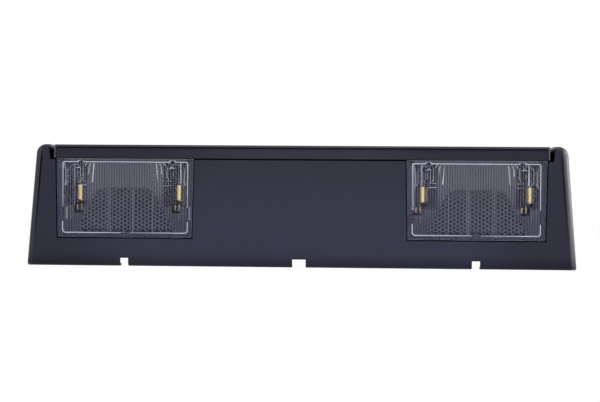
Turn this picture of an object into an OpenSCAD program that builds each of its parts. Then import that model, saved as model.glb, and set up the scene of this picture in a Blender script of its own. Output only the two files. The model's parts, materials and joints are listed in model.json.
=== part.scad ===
// Licence plate light bar. Two clear lens windows stand side by side in a long black hood,
// and each has two small bayonet bulbs behind it.
// Frame: X along the bar, Z up, the lenses look along -Y. The origin is at the middle of the
// foot print, so that the bar stands on its lower edge at Z = 0.

/* [Bar] */
// Width of the bar across its lower corners
bar_w = 540; // [520:1:600]
// Height from the lower edge to the top of the ears
bar_h = 120; // [118:1:130]
// Depth from the front face to the face of the rear seal
bar_d = 48; // [46:1:58]
// Lean of each side edge, in degrees
side_lean = 4.4; // [3.5:0.1:5]

/* [Front cover] */
// Wall of the front cover
cover_wall = 2.5; // [2.2:0.1:2.8]
// Radius of the front edges
edge_r = 4.5; // [4:0.1:5.5]
// Radius of the ears' outer corners, seen from the front
ear_r = 9.5; // [8:0.5:11]
// Radius of the lower corners, seen from the front
corner_r = 2; // [1.5:0.1:2.5]
// Depth of the turned-in lower lip
lip_depth = 8; // [6:0.5:10]
// Width of the two outer notches in the lower edge
notch_w = 8; // [6:0.5:10]
// Width of the middle notch
mid_notch_w = 13.2; // [11:0.2:16]
// Height of the notches
notch_h = 8; // [6:0.5:9]
// Radius at the mouth of each notch
notch_r = 1; // [0.5:0.1:1.5]

/* [Top strip] */
// Height of the strip between the ears
strip_h = 12; // [11.4:0.1:12.6]
// Wall of the strip
strip_wall = 2; // [1.7:0.1:2.2]
// How far the strip's top lies below the ears' tops
strip_drop = 1.5; // [1:0.1:2]
// Radius along the strip's upper front edge
strip_r = 3; // [2:0.1:4]
// Dark gap between the strip and the front face
strip_gap = 1.6; // [1.2:0.1:2]
// How far the strip runs past the lens on each side
strip_over = 3.2; // [2.8:0.1:4]
// Width of the slot beside each ear, at its foot
slot_foot = 2.9; // [2.4:0.1:3.4]
// Width of the slot beside each ear, at its top
slot_top = 4.5; // [4:0.1:5]

/* [Lenses] */
// Distance from a lower corner of the bar to the outer edge of the nearer lens
lens_inset = 29.15; // [28.5:0.05:31]
// Width of a lens across its upper edge
lens_w = 136.7; // [132:0.1:139]
// Height of the lower edge of a lens above the lower edge of the bar
lens_z = 28; // [27:0.1:29]
// Lean of a lens's side edges, in degrees
lens_lean = 1.3; // [0.8:0.1:1.6]
// Thickness of the lens's flange and pane
lens_t = 2.2; // [2:0.1:2.4]
// Dark gap round a lens
lens_gap = 0.9; // [0.7:0.1:1.2]
// How far a lens lies behind the front face
lens_sink = 0.3; // [0.2:0.1:0.5]
// Flange beside the skirt
skirt_side = 5.85; // [5.5:0.05:7]
// Flange above the skirt
skirt_head = 3.1; // [3:0.1:4]
// Flange below the skirt
skirt_foot = 4.3; // [4:0.1:4.6]
// Wall of the skirt
skirt_wall = 1.8; // [1.5:0.1:2]
// Width of the spring arms at the sides of a lens
arm_w = 12.3; // [10:0.1:14]
// Height of the middle of the spring arms above the skirt's lower wall
arm_rise = 18.5; // [16:0.1:20]
// Width of the snap in the lower skirt
snap_w = 6.8; // [5:0.1:8]
// Distance between the flutes on the inside of the pane
flute_pitch = 2.5; // [2:0.1:3.5]
// Height of the flutes
flute_h = 0.3; // [0.2:0.05:0.4]
// Distance between the cells of the honeycomb
comb_pitch = 3.9; // [3.5:0.1:5]
// Height of the honeycomb cells
comb_h = 0.6; // [0.4:0.05:0.8]
// Groove between neighbouring honeycomb cells
comb_groove = 0.5; // [0.3:0.05:0.8]

/* [Bulbs and sockets] */
// Distance from the outer left bulb to the lens's skirt
bulb_1_in = 18; // [10:0.5:20]
// Distance from the inner left bulb to the lens's skirt
bulb_2_in = 8.5; // [8.5:0.5:12]
// Distance from the inner right bulb to the lens's skirt
bulb_3_in = 11; // [10.5:0.5:13]
// Distance from the outer right bulb to the lens's skirt
bulb_4_in = 10; // [8.5:0.5:13]
// Distance from a socket's lower end up to the top of the skirt
socket_drop = 37.6; // [35:0.1:40]
// Height of a socket
socket_h = 14; // [12:0.5:15]
// Wall of a socket
socket_wall = 0.4; // [0.3:0.05:0.6]
// Diameter of a bulb's metal cap
cap_d = 9.2; // [8.8:0.1:9.4]
// Diameter of a bulb's glass
glass_d = 8.8; // [8.4:0.1:8.8]
// Length of a bulb from its cap's lower end to the tip of its glass
bulb_len = 30; // [28:0.5:32]
// How far the contact springs' feet stand to the left of the bulbs
spring_shift = 4.4; // [3.5:0.1:5]
// Thickness of the brass strips
strip_t = 0.6; // [0.5:0.05:0.7]

/* [Rear housing and mounting] */
// Wall of the rear housing
house_wall = 2.2; // [2:0.1:2.6]
// Depth of the recess in the back
back_recess = 5; // [4:0.5:6]
// Width of the rim round the back
rim_w = 5; // [4.5:0.1:6]
// Thickness of the foam seal on the rim
seal_t = 2; // [1.5:0.1:2.5]
// Tapping bore of the mounting inserts
insert_bore = 5; // [4.2:0.1:5.2]
// Outer diameter of the mounting inserts
insert_d = 8; // [7.5:0.1:9]
// Length of the mounting inserts
insert_len = 12; // [10:0.5:13]
// Distance from the mounting inserts up to the top of the ears
insert_drop = 36; // [32:0.5:40]

/* [Hidden] */
$fn = 48;

eps = 0.01;
big = 1000;
// Clearance between parts that are pushed together
fit_gap = 0.3;
hull_fn = 32;

// Planes along Y, from the front to the back
y_front = -bar_d / 2;
y_back = bar_d / 2;
y_rim = y_back - seal_t;
y_wall_back = y_rim - back_recess;
y_wall = y_wall_back - house_wall;
y_panel = y_front + cover_wall;
y_lens = y_front + lens_sink;
y_flange = y_lens + lens_t;
gasket_t = 1.2;
y_ledge = y_flange + gasket_t;
ledge_t = 2.2;
y_ledge_back = y_ledge + ledge_t;
skirt_depth = 15;
y_skirt = y_flange + skirt_depth;
y_base = y_skirt + 0.5;
base_t = 2.5;
y_base_back = y_base + base_t;
y_house = y_front + edge_r + 1;
y_bulb = y_flange + 7.5;

// Heights along Z
strip_z1 = bar_h - strip_drop;
strip_z0 = strip_z1 - strip_h;
panel_z = strip_z0 - strip_gap;
lens_z1 = strip_z0 - fit_gap;
skirt_z0 = lens_z + skirt_foot;
skirt_z1 = lens_z1 - skirt_head;
arm_z = skirt_z0 + arm_rise;
socket_z = skirt_z1 - socket_drop;
insert_z = bar_h - insert_drop;
house_z0 = notch_h + 4;
house_z1 = bar_h - cover_wall - fit_gap;
roof_z = strip_z1 - house_wall;

// Distances along X
lens_x = bar_w / 2 - lens_inset - lens_w / 2;
skirt_w = lens_w - 2 * skirt_side;
strip_x = lens_x + lens_w / 2 + strip_over;
ledge_rim = 2.2;
base_margin = 11;
base_w = skirt_w + 2 * base_margin;
base_z0 = skirt_z0 - 1.5;
base_z1 = skirt_z1 + 1.5;
base_screw_inset = 5;
base_screw_x = base_w / 2 - base_screw_inset;
base_screw_z = [base_z0 + base_screw_inset, base_z1 - base_screw_inset];
boss_d = 8;
boss_clear = 2.5;
boss_low = 12;
boss_high = 9;
boss_x = [0.6 * (lens_x - base_w / 2), lens_x + base_w / 2 + boss_clear + boss_d / 2];
boss_z = [house_z0 + boss_low, panel_z - boss_high];

// Ribs on the back
rib_t = 1.8;
rib_pitch = 25;
rib_z = (house_z0 + insert_z - insert_d) / 2 + 20;

// Screws: core bore, shank, head
screw_bore = 3.2;
screw_d = 3;
screw_hole = 4.2;
screw_head_d = 7;
screw_head_h = 2.4;
screw_bite = 10;

// Bulb bays moulded inside the lens
bay_depth = 11;
bay_bulb_x = skirt_w / 2 - 11;
bay_top_x = bay_bulb_x - 20.5;
bay_foot_x = bay_top_x + 2.2;
bay_foot_z = skirt_z1 - 21;
bay_rib = 1.3;
shield_depth = 2.4;
shield_z = socket_z + socket_h;
shield_w = skirt_w / 2 - skirt_wall - bay_bulb_x + 8.5;
dome_r = 6.5;
dome_rise = 1.2;
dome_x = bay_bulb_x - 5;

// Honeycomb field: half widths at its foot and its shoulders
comb_foot = skirt_w / 2 - 13.5;
comb_shoulder = bay_top_x - 1;
comb_crown = comb_shoulder - 10;
comb_z0 = skirt_z0 + skirt_wall + 1;
comb_z1 = skirt_z1 - 26.3;
comb_z2 = skirt_z1 - 23.8;

// Spring arms of the lens and their catches
arm_slit = 0.8;
y_barb = y_wall - 9.5;
barb_len = 3;
barb_rise = 1.2;
catch_t = 2.2;
catch_bar = 2;

// Bulbs, sockets and contacts
bulb_in = [bulb_1_in, bulb_2_in, bulb_3_in, bulb_4_in];
bulb_out = [for (i = [0:3]) (i % 2 == 0 ? -1 : 1) * (skirt_w / 2 - bulb_in[i])];
socket_d = cap_d + 0.4 + 2 * socket_wall;
cap_z = socket_z + 0.5;
cap_h = socket_h;
glass_seat = 3;
glass_wall = 0.5;
pin_r = 0.7;
tip_r = 1.8;
tip_h = 0.9;
spring_t = 0.5;
foot_w = 8;
foot_h = 6;
feed_z = socket_z - 8.5;
earth_z = socket_z + socket_h / 2;
rivet_r = 1;

// Connector in the back
conn_z = 42;
conn_w = 20;
conn_h = 11;
conn_depth = 13;
conn_wall = 2;
y_conn = y_rim - conn_depth;
pin_x = 5;
pin_w = 2.8;
pin_t = 0.8;

link_w = 2.4;
earth_step = 4.5;

function side_x(z) = bar_w / 2 - z * tan(side_lean);
function lens_x_at(z) = lens_w / 2 - (lens_z1 - z) * tan(lens_lean);
function house_x(z, inset) = side_x(z) - (cover_wall + fit_gap + inset) / cos(side_lean);
function bulb_centre(i) = (i < 2 ? -lens_x : lens_x) + bulb_out[i];
// The two bulbs behind a lens, measured from its middle
function bulb_pair(side) = side < 0 ? [bulb_out[0], bulb_out[1]] : [bulb_out[2], bulb_out[3]];
// Distance of a rounded corner's centre from the outer line of a wall that is inset
function corner_in(r, inset) = inset + max(r - inset, 0.5);

// Drawn in X and Z, as thick as from y0 to y1
module slab(y0, y1) {
  translate([0, y1, 0]) rotate([90, 0, 0]) linear_extrude(y1 - y0) children();
}

// A round bar along Y
module rod(x, z, d, y0, y1) {
  translate([x, y1, z]) rotate([90, 0, 0]) cylinder(d = d, h = y1 - y0);
}

module at_lamp(side) {
  translate([side * lens_x, 0, 0]) children();
}

module both_ways() {
  children();
  mirror([1, 0, 0]) children();
}

// A disc that faces -Y and has a rounded front rim
module round_disc(r, rim) {
  rotate([90, 0, 0]) rotate_extrude($fn = hull_fn) intersection() {
    translate([r - rim, 0]) circle(r = rim, $fn = hull_fn);
    translate([0, -rim]) square([r, 2 * rim]);
  }
}

// The hood's outer form, or its hollow when inset is its wall
module cover_block(inset) {
  rim = edge_r - inset;
  low = corner_in(edge_r + 0.3, inset);
  foot = corner_in(corner_r, inset);
  ear_z = bar_h - ear_r;
  y0 = y_front + edge_r;
  y1 = inset > 0 ? y_rim + 1 : y_rim;
  hull() both_ways() {
    translate([side_x(low) - low / cos(side_lean), y0, low]) round_disc(low - inset, rim);
    translate([side_x(foot) - foot / cos(side_lean), y1, foot]) rotate([90, 0, 0])
      cylinder(r = foot - inset, h = y1 - y0, $fn = hull_fn);
    translate([side_x(ear_z) - ear_r / cos(side_lean), y0, ear_z]) round_disc(ear_r - inset, rim);
    translate([side_x(ear_z) - ear_r / cos(side_lean), y1, ear_z]) rotate([90, 0, 0])
      cylinder(r = ear_r - inset, h = y1 - y0, $fn = hull_fn);
  }
}

// Outline of the lens's flange, grown by g
module lens_outline(g = 0, top = lens_z1) {
  polygon([
    [-lens_x_at(lens_z) - g, lens_z - g], [lens_x_at(lens_z) + g, lens_z - g],
    [lens_x_at(lens_z1) + g, top], [-lens_x_at(lens_z1) - g, top]
  ]);
}

// Outline of the skirt, grown by g, with a low dome over each bulb
module skirt_outline(g = 0) {
  r = 3.5 + g;
  x = skirt_w / 2 + g - r;
  z0 = skirt_z0 - g + r;
  z1 = skirt_z1 + g - r;
  union() {
    translate([-x, z0 - r]) square([2 * x, z1 - z0 + 2 * r]);
    translate([-x - r, z0]) square([2 * (x + r), z1 - z0]);
    for (sx = [-1, 1], z = [z0, z1]) translate([sx * x, z]) circle(r = r);
    for (sx = [-1, 1]) translate([sx * dome_x, skirt_z1 + dome_rise - dome_r]) circle(r = dome_r + g);
  }
}

// A notch in the lower edge with rounded lips
module notch(w) {
  translate([-w / 2, -1]) square([w, notch_h + 1]);
  for (sx = [-1, 1]) translate([sx * w / 2, 0]) difference() {
    translate([sx > 0 ? -eps : -notch_r, -1]) square([notch_r + eps, 1 + notch_r]);
    translate([sx * notch_r, notch_r]) circle(r = notch_r);
  }
}

// The opening between the two ears, where the rear housing's strip shows
module ear_gap() {
  foot = strip_x + slot_foot;
  top = strip_x + slot_top;
  polygon([[-foot, panel_z], [foot, panel_z], [top, bar_h + 1], [-top, bar_h + 1]]);
}

// The ledge that carries a lens's gasket, with the wall round it
module lens_ledge() {
  slab(y_ledge, y_ledge_back) difference() {
    union() {
      lens_outline(lens_gap + ledge_rim, panel_z);
      translate([1 - lens_w / 2, panel_z - 3]) square([lens_w - 2, lens_z1 + 2 - panel_z + 3]);
    }
    skirt_outline(1.2);
  }
  slab(y_panel - 1, y_ledge_back) difference() {
    lens_outline(lens_gap + ledge_rim, panel_z);
    lens_outline(lens_gap, panel_z + 1);
  }
}

module front_cover() {
  color([0.09, 0.09, 0.11]) {
    difference() {
      cover_block(0);
      cover_block(cover_wall);
      slab(y_front - 1, y_back) ear_gap();
      for (side = [-1, 1]) at_lamp(side) slab(y_front - 1, y_panel + 1) lens_outline(lens_gap, panel_z + 1);
      slab(y_front - 1, y_front + lip_depth + 1) notch(mid_notch_w);
      for (side = [-1, 1]) at_lamp(side) slab(y_front - 1, y_front + lip_depth + 1) notch(notch_w);
      translate([-side_x(0) + cover_wall + 1.5, y_front + lip_depth, -1])
        cube([2 * (side_x(0) - cover_wall - 1.5), bar_d, 1 + cover_wall + 1]);
    }
    for (side = [-1, 1]) at_lamp(side) lens_ledge();
    difference() {
      both_ways() for (x = boss_x, z = boss_z) rod(x, z, boss_d, y_panel - 1, y_wall - fit_gap);
      both_ways() for (x = boss_x, z = boss_z) rod(x, z, screw_bore, y_wall - screw_bite - 2, y_wall);
    }
  }
}

// Outline of the rear housing, with cut corners that clear the ears
module house_outline(inset = 0) {
  z0 = house_z0 + inset;
  z1 = house_z1 - inset;
  polygon(concat(
    [for (s = [-1, 1]) [s * house_x(z0, inset), z0]],
    [for (s = [1, -1]) for (p = s > 0 ? [0, 1] : [1, 0])
      [s * (house_x(z1 - (1 - p) * ear_r, inset) - p * ear_r), z1 - (1 - p) * ear_r]]
  ));
}

// The strip's section in Y and Z: a front wall and a roof with a rounded edge between them
module strip_section() {
  y0 = y_lens;
  difference() {
    union() {
      translate([y0 + strip_r, strip_z0]) square([y_rim - y0 - strip_r, strip_h]);
      translate([y0, strip_z0]) square([strip_r + eps, strip_h - strip_r]);
      translate([y0 + strip_r, strip_z1 - strip_r]) circle(r = strip_r);
    }
    translate([y0 + strip_wall, strip_z0 - 1]) square([big, roof_z - strip_z0 + 1]);
  }
}

// The strip's outline seen from the front, with rounded upper corners
module strip_front() {
  x = strip_x - strip_r;
  translate([-strip_x, strip_z0 - 5]) square([2 * strip_x, strip_h + 5 - strip_r]);
  translate([-x, strip_z0 - 5]) square([2 * x, strip_h + 5]);
  for (s = [-1, 1]) translate([s * x, strip_z1 - strip_r]) circle(r = strip_r);
}

// A fine line pressed into the strip's face, parallel to its upper and side edges
module strip_line() {
  line = 0.7;
  in = strip_r + 0.2;
  difference() {
    translate([in - strip_x, strip_z0 - 1]) square([2 * (strip_x - in), strip_h + 1 - in]);
    translate([in + line - strip_x, strip_z0 - 2])
      square([2 * (strip_x - in - line), strip_h + 2 - in - line]);
  }
}

module strip_bar() {
  difference() {
    intersection() {
      rotate([90, 0, 90]) linear_extrude(2 * strip_x, center = true) strip_section();
      slab(y_front, y_rim) strip_front();
    }
    slab(y_lens - 1, y_lens + 0.5) strip_line();
  }
  both_ways() translate([strip_x - strip_wall, y_lens + strip_wall - 0.5, strip_z0])
    cube([strip_wall, y_house - y_lens - strip_wall + 1, roof_z - strip_z0 + 0.5]);
}

// The lens's arms snap behind the bar of this catch
module arm_catch() {
  x = skirt_w / 2 + 0.4;
  h = arm_w + 2.4;
  difference() {
    translate([x, y_barb - catch_bar - 0.2, arm_z - h / 2])
      cube([catch_t, y_wall - y_barb + catch_bar + 0.7, h]);
    translate([x - 1, y_barb - 0.2, arm_z - arm_w / 2 - 0.3])
      cube([catch_t + 2, barb_len + 1.2, arm_w + 0.6]);
  }
}

module connector_block(grow, y0, y1) {
  slab(y0, y1) translate([-conn_w / 2 - grow, conn_z - conn_h / 2 - grow])
    square([conn_w + 2 * grow, conn_h + 2 * grow]);
}

module rear_ribs() {
  slab(y_wall_back - 0.5, y_rim - 1) {
    both_ways() for (x = concat([boss_x[0] / 2], [for (i = [-2, -1, 1, 2]) lens_x + i * rib_pitch]))
      translate([x - rib_t / 2, house_z0 + 1]) square([rib_t, roof_z - house_z0 - 2]);
    translate([-house_x(rib_z, 1), rib_z - rib_t / 2]) square([2 * house_x(rib_z, 1), rib_t]);
  }
}

module rear_housing() {
  color([0.07, 0.07, 0.08]) {
    difference() {
      union() {
        difference() {
          slab(y_house, y_rim) house_outline();
          slab(y_house - 1, y_wall) house_outline(house_wall);
          slab(y_wall_back, y_rim + 1) house_outline(rim_w);
          // Opens the roof up to the strip's own
          translate([-strip_x + house_wall, y_house - 1, house_z1 - 2 * house_wall])
            cube([2 * (strip_x - house_wall), y_wall - y_house + 1, roof_z - house_z1 + 2 * house_wall]);
        }
        strip_bar();
        translate([-house_x(house_z0, 6), y_panel + fit_gap, house_z0])
          cube([2 * house_x(house_z0, 6), y_house - y_panel, house_wall]);
        difference() {
          rear_ribs();
          connector_block(conn_wall - eps, y_wall, y_rim + 1);
        }
        both_ways() for (x = [0, lens_x]) rod(x, insert_z, insert_d + 6, y_rim - insert_len - 2, y_rim);
        connector_block(conn_wall, y_conn - conn_wall, y_rim);
        for (side = [-1, 1]) at_lamp(side) {
          both_ways() arm_catch();
          both_ways() for (z = base_screw_z) rod(base_screw_x, z, boss_d, y_base_back, y_wall + 0.5);
        }
      }
      both_ways() for (x = [0, lens_x]) rod(x, insert_z, insert_d, y_rim - insert_len, y_rim + 1);
      connector_block(0, y_conn, y_rim + 1);
      for (s = [-1, 1]) translate([s * pin_x - pin_w / 2, y_conn - conn_wall - 1, conn_z - pin_t / 2])
        cube([pin_w, conn_wall + 2, pin_t]);
      both_ways() for (x = boss_x, z = boss_z) {
        rod(x, z, screw_hole, y_wall - 1, y_wall_back + 1);
        rod(x, z, screw_head_d + 1, y_wall_back, y_rim + 1);
      }
      for (side = [-1, 1]) at_lamp(side) both_ways() for (z = base_screw_z)
        rod(base_screw_x, z, screw_bore, y_base_back - 1, y_base_back + screw_bite + 2);
    }
  }
}

// Straight flutes on the inside of the pane, left out under the honeycomb
module flutes() {
  x1 = skirt_w / 2 - skirt_wall - 1;
  n = floor(2 * x1 / flute_pitch);
  x0 = -n * flute_pitch / 2;
  z0 = skirt_z0 + skirt_wall + 1;
  z1 = skirt_z1 - skirt_wall - 1;
  y = y_flange - 0.2;
  difference() {
    translate([0, 0, z0]) linear_extrude(z1 - z0) polygon(concat(
      [[x0 + n * flute_pitch, y], [x0, y]],
      [for (i = [0:n - 1]) each [[x0 + i * flute_pitch, y_flange + 0.01],
        [x0 + (i + 0.5) * flute_pitch, y_flange + flute_h]]],
      [[x0 + n * flute_pitch, y_flange + 0.01]]
    ));
    slab(y_flange, y_flange + 1) comb_field(1);
  }
}

// Outline of the honeycomb field, grown by g
module comb_field(g = 0) {
  polygon([
    [-comb_foot - g, comb_z0 - g], [comb_foot + g, comb_z0 - g], [comb_shoulder + g, comb_z1],
    [comb_crown, comb_z2 + g], [-comb_crown, comb_z2 + g], [-comb_shoulder - g, comb_z1]
  ]);
}

// Half width of the honeycomb field at a height
function comb_x(z) = z > comb_z2 ? -1 : z > comb_z1
  ? comb_shoulder - (z - comb_z1) * (comb_shoulder - comb_crown) / (comb_z2 - comb_z1)
  : comb_foot - (z - comb_z0) * (comb_foot - comb_shoulder) / (comb_z1 - comb_z0);

module honeycomb() {
  column = comb_pitch * sin(60);
  cell_r = (comb_pitch - comb_groove) / 2 / cos(30);
  columns = floor(comb_foot / column);
  rows = floor((comb_z2 - comb_z0) / comb_pitch);
  slab(y_flange - 0.2, y_flange + comb_h)
    for (i = [-columns:columns], j = [0:rows])
      let (x = i * column, z = comb_z0 + (j + (i % 2 == 0 ? 0.5 : 1)) * comb_pitch)
        if (z + comb_pitch / 2 < comb_z2 && abs(x) + cell_r < comb_x(z))
          translate([x, z]) circle(r = cell_r, $fn = 6);
}

// Walls of one bulb bay, moulded on the inside of the pane
module bulb_bay() {
  slab(y_flange - 0.2, y_flange + bay_depth) polygon([
    [bay_top_x, skirt_z1 - 0.5], [bay_top_x, skirt_z1 - 4], [bay_foot_x, bay_foot_z],
    [bay_foot_x + bay_rib, bay_foot_z], [bay_top_x + bay_rib, skirt_z1 - 4],
    [bay_top_x + bay_rib + 2.2, skirt_z1 - 0.5]
  ]);
  slab(y_flange - 0.2, y_flange + bay_depth) polygon([
    [bay_top_x + 4.6, skirt_z1 - 0.5], [bay_top_x + 4.6, skirt_z1 - 2.2], [bay_top_x + 6.6, skirt_z1 - 4.4],
    [bay_top_x + 6.6, bay_foot_z + 8], [bay_top_x + 7.6, bay_foot_z + 8], [bay_top_x + 7.6, skirt_z1 - 3.8],
    [bay_top_x + 6.2, skirt_z1 - 2.2], [bay_top_x + 6.2, skirt_z1 - 0.5]
  ]);
  slab(y_flange - 0.2, y_flange + shield_depth) difference() {
    translate([bay_bulb_x - 9.5, shield_z]) square([shield_w, 15]);
    translate([bay_bulb_x - 8.5, shield_z + 1]) square([shield_w - 2, 13]);
    translate([bay_bulb_x - 5, shield_z - 1]) square([10, 3]);
  }
}

module lens() {
  arm_x = skirt_w / 2 - skirt_wall;
  slab(y_lens, y_flange) lens_outline();
  flutes();
  honeycomb();
  difference() {
    slab(y_flange - 0.2, y_skirt) difference() {
      skirt_outline(0);
      skirt_outline(-skirt_wall);
    }
    for (s = [-1, 1]) translate([s * arm_x - 5, y_flange, arm_z - arm_w / 2 - arm_slit])
      cube([10, skirt_depth + 1, arm_w + 2 * arm_slit]);
    translate([-snap_w / 2 - arm_slit, y_flange, skirt_z0 - 1])
      cube([snap_w + 2 * arm_slit, skirt_depth + 1, 4]);
  }
  both_ways() {
    bulb_bay();
    // Spring arm with its barb
    translate([0, 0, arm_z - arm_w / 2]) linear_extrude(arm_w) polygon([
      [arm_x, y_flange - 0.2], [skirt_w / 2, y_flange - 0.2], [skirt_w / 2, y_barb],
      [skirt_w / 2 + barb_rise, y_barb], [skirt_w / 2, y_barb + barb_len], [arm_x, y_barb + barb_len]
    ]);
    // Hook behind the strip
    translate([14, y_flange - 0.2, lens_z1 - 1.3]) cube([12, gasket_t, 1.3]);
    translate([14, y_flange, lens_z1 - 1.3]) cube([12, gasket_t - 0.2, 4]);
  }
  // Snap in the lower skirt, with its barb behind the ledge
  translate([-snap_w / 2, 0, 0]) rotate([90, 0, 90]) linear_extrude(snap_w) polygon([
    [y_flange - 0.2, skirt_z0], [y_flange - 0.2, skirt_z0 + skirt_wall],
    [y_ledge_back + 3, skirt_z0 + skirt_wall], [y_ledge_back + 3, skirt_z0],
    [y_ledge_back + fit_gap, skirt_z0 - 2], [y_ledge_back + fit_gap, skirt_z0]
  ]);
}

module left_lens() {
  color([0.86, 0.89, 0.92, 0.4]) at_lamp(-1) lens();
}

module right_lens() {
  color([0.86, 0.89, 0.92, 0.4]) at_lamp(1) lens();
}

module lens_gasket(side) {
  color([0.04, 0.04, 0.04]) at_lamp(side) slab(y_flange, y_ledge) difference() {
    lens_outline(-0.2, lens_z1 - 0.2);
    skirt_outline(0.6);
    for (s = [-1, 1]) translate([s * 20 - 6.3, lens_z1 - 1.6]) square([12.6, 3]);
  }
}

// The black plate that carries a lamp's sockets
module lamp_base(side) {
  color([0.06, 0.06, 0.07]) at_lamp(side) difference() {
    slab(y_base, y_base_back) difference() {
      translate([-base_w / 2, base_z0]) square([base_w, base_z1 - base_z0]);
      for (s = [-1, 1]) translate([s * base_w / 2 - base_margin - 3, arm_z - arm_w / 2 - 2])
        square([2 * base_margin + 6, arm_w + 4]);
    }
    both_ways() for (z = base_screw_z) rod(base_screw_x, z, screw_hole, y_base - 1, y_base_back + 1);
    for (x = bulb_pair(side)) {
      rod(x, earth_z, 2 * rivet_r + 0.4, y_base - 1, y_base_back + 1);
      rod(x - spring_shift, feed_z, 2 * rivet_r + 0.4, y_base - 1, y_base_back + 1);
    }
  }
}

// A pan head screw along Y: dir 1 has its head at the front, -1 at the back
module screw(x, z, y_head, len, dir) {
  y0 = dir > 0 ? y_head - screw_head_h : y_head;
  difference() {
    union() {
      rod(x, z, screw_head_d, y0, y0 + screw_head_h);
      rod(x, z, screw_d, dir > 0 ? y_head - 1 : y_head - len, dir > 0 ? y_head + len : y_head + 1);
    }
    for (a = [0, 90]) translate([x, dir > 0 ? y0 : y0 + screw_head_h, z]) rotate([0, a, 0])
      cube([4, 2.4, 0.9], center = true);
  }
}

module base_screws(side) {
  color([0.7, 0.7, 0.68]) at_lamp(side) for (s = [-1, 1], z = base_screw_z)
    screw(s * base_screw_x, z, y_base, base_t + screw_bite, 1);
}

module cover_screws() {
  color([0.7, 0.7, 0.68]) for (s = [-1, 1], x = boss_x, z = boss_z)
    screw(s * x, z, y_wall_back, house_wall + screw_bite, -1);
}

module bulb_glass(i) {
  tip = cap_z + bulb_len - glass_d / 2;
  r = glass_d / 2;
  z0 = cap_z + cap_h - glass_seat;
  color([0.9, 0.93, 0.95, 0.35]) translate([bulb_centre(i), y_bulb, 0]) difference() {
    union() {
      translate([0, 0, z0]) cylinder(r = r, h = tip - z0);
      translate([0, 0, tip]) sphere(r = r);
    }
    translate([0, 0, z0 - 1]) cylinder(r = r - glass_wall, h = tip - z0 + 1);
    translate([0, 0, tip]) sphere(r = r - glass_wall);
  }
}

module bulb_cap(i) {
  seat_r = glass_d / 2 + 0.05;
  color([0.78, 0.62, 0.3]) translate([bulb_centre(i), y_bulb, 0]) {
    difference() {
      translate([0, 0, cap_z]) cylinder(d = cap_d, h = cap_h);
      translate([0, 0, cap_z + cap_h - glass_seat]) cylinder(r = seat_r, h = glass_seat + 1);
    }
    translate([0, 0, cap_z - tip_h]) cylinder(r = tip_r, h = tip_h + 0.1);
    translate([0, 0, cap_z + 6]) rotate([0, 90, 0]) cylinder(r = pin_r, h = socket_d + 0.4, center = true);
  }
}

// Two lead-in wires with the glowing coil between them
module bulb_filament(i) {
  z0 = cap_z + cap_h - glass_seat;
  z1 = z0 + 9;
  color([0.45, 0.45, 0.47]) translate([bulb_centre(i), y_bulb, 0]) {
    for (s = [-1, 1]) translate([s * 1.8, 0, z0]) cylinder(r = 0.25, h = z1 - z0 + 0.2);
    translate([0, 0, z1]) rotate([0, 90, 0]) cylinder(r = 0.4, h = 3.8, center = true);
    translate([0, 0, z0 + 3]) rotate([0, 90, 0]) cylinder(r = 0.6, h = 4.2, center = true);
  }
}

// A slotted brass sleeve on a strap, riveted to the lamp base
module socket(i) {
  bore_r = cap_d / 2 + 0.2;
  color([0.8, 0.64, 0.3]) translate([bulb_centre(i), 0, 0]) {
    difference() {
      union() {
        translate([0, y_bulb, socket_z]) cylinder(d = socket_d, h = socket_h);
        translate([-3, y_bulb, earth_z - 3]) cube([6, y_base - y_bulb - strip_t + eps, 6]);
        translate([-6, y_base - strip_t, earth_z - 3]) cube([12, strip_t, 6]);
      }
      translate([0, y_bulb, socket_z - 1]) cylinder(r = bore_r, h = socket_h + 2);
      for (s = [-1, 1]) translate([s > 0 ? 0 : -big, y_bulb - pin_r - 0.2, cap_z + 6 - pin_r - 0.2])
        cube([big, 2 * pin_r + 0.4, socket_h]);
      translate([-3 + strip_t, y_bulb + bore_r + strip_t + 0.6, earth_z - 4])
        cube([6 - 2 * strip_t, y_base - y_bulb - bore_r - 2 * strip_t - 0.6, 8]);
    }
    rod(0, earth_z, 2 * rivet_r, y_base - strip_t, y_base_back);
  }
}

// A bent brass leaf: a pad under the bulb's tip, a sloping arm, and a forked foot riveted to the base
module contact_spring(i) {
  pad_z = cap_z - tip_h;
  y_foot = y_base - strip_t;
  foot_x = -spring_shift;
  color([0.8, 0.64, 0.3]) translate([bulb_centre(i), 0, 0]) {
    translate([-2.5, y_bulb - 2.5, pad_z - spring_t]) cube([5, 5, spring_t]);
    translate([-2.5, 0, 0]) rotate([90, 0, 90]) linear_extrude(3) polygon([
      [y_bulb + 2, pad_z - spring_t], [y_bulb + 2.5, pad_z], [y_foot, feed_z + 3.6],
      [y_base, feed_z + 3.6], [y_base, feed_z + 2.4], [y_foot, feed_z + 2.4], [y_foot - 0.3, feed_z + 2.6]
    ]);
    difference() {
      translate([foot_x - foot_w / 2, y_foot, feed_z - foot_h / 2]) cube([foot_w, strip_t, foot_h]);
      translate([foot_x + 2, y_foot - 1, feed_z - foot_h / 2 - 1]) cube([1.4, strip_t + 2, 4.5]);
    }
    rod(foot_x, feed_z, 2 * rivet_r, y_foot, y_base_back);
  }
}

// A stamped brass rail behind the lamp bases: wide behind each pair of rivets, narrow in between
module rail(z, shift) {
  y0 = y_base_back;
  link_z = z + 3 - link_w;
  for (side = [-1, 1]) {
    ends = bulb_pair(side) + [shift - 3, shift + 3];
    at_lamp(side) slab(y0, y0 + strip_t) translate([ends[0], z - 3]) square([ends[1] - ends[0], 6]);
  }
  slab(y0, y0 + strip_t) translate([bulb_centre(1) + shift, link_z])
    square([bulb_centre(2) - bulb_centre(1), link_w]);
}

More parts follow.
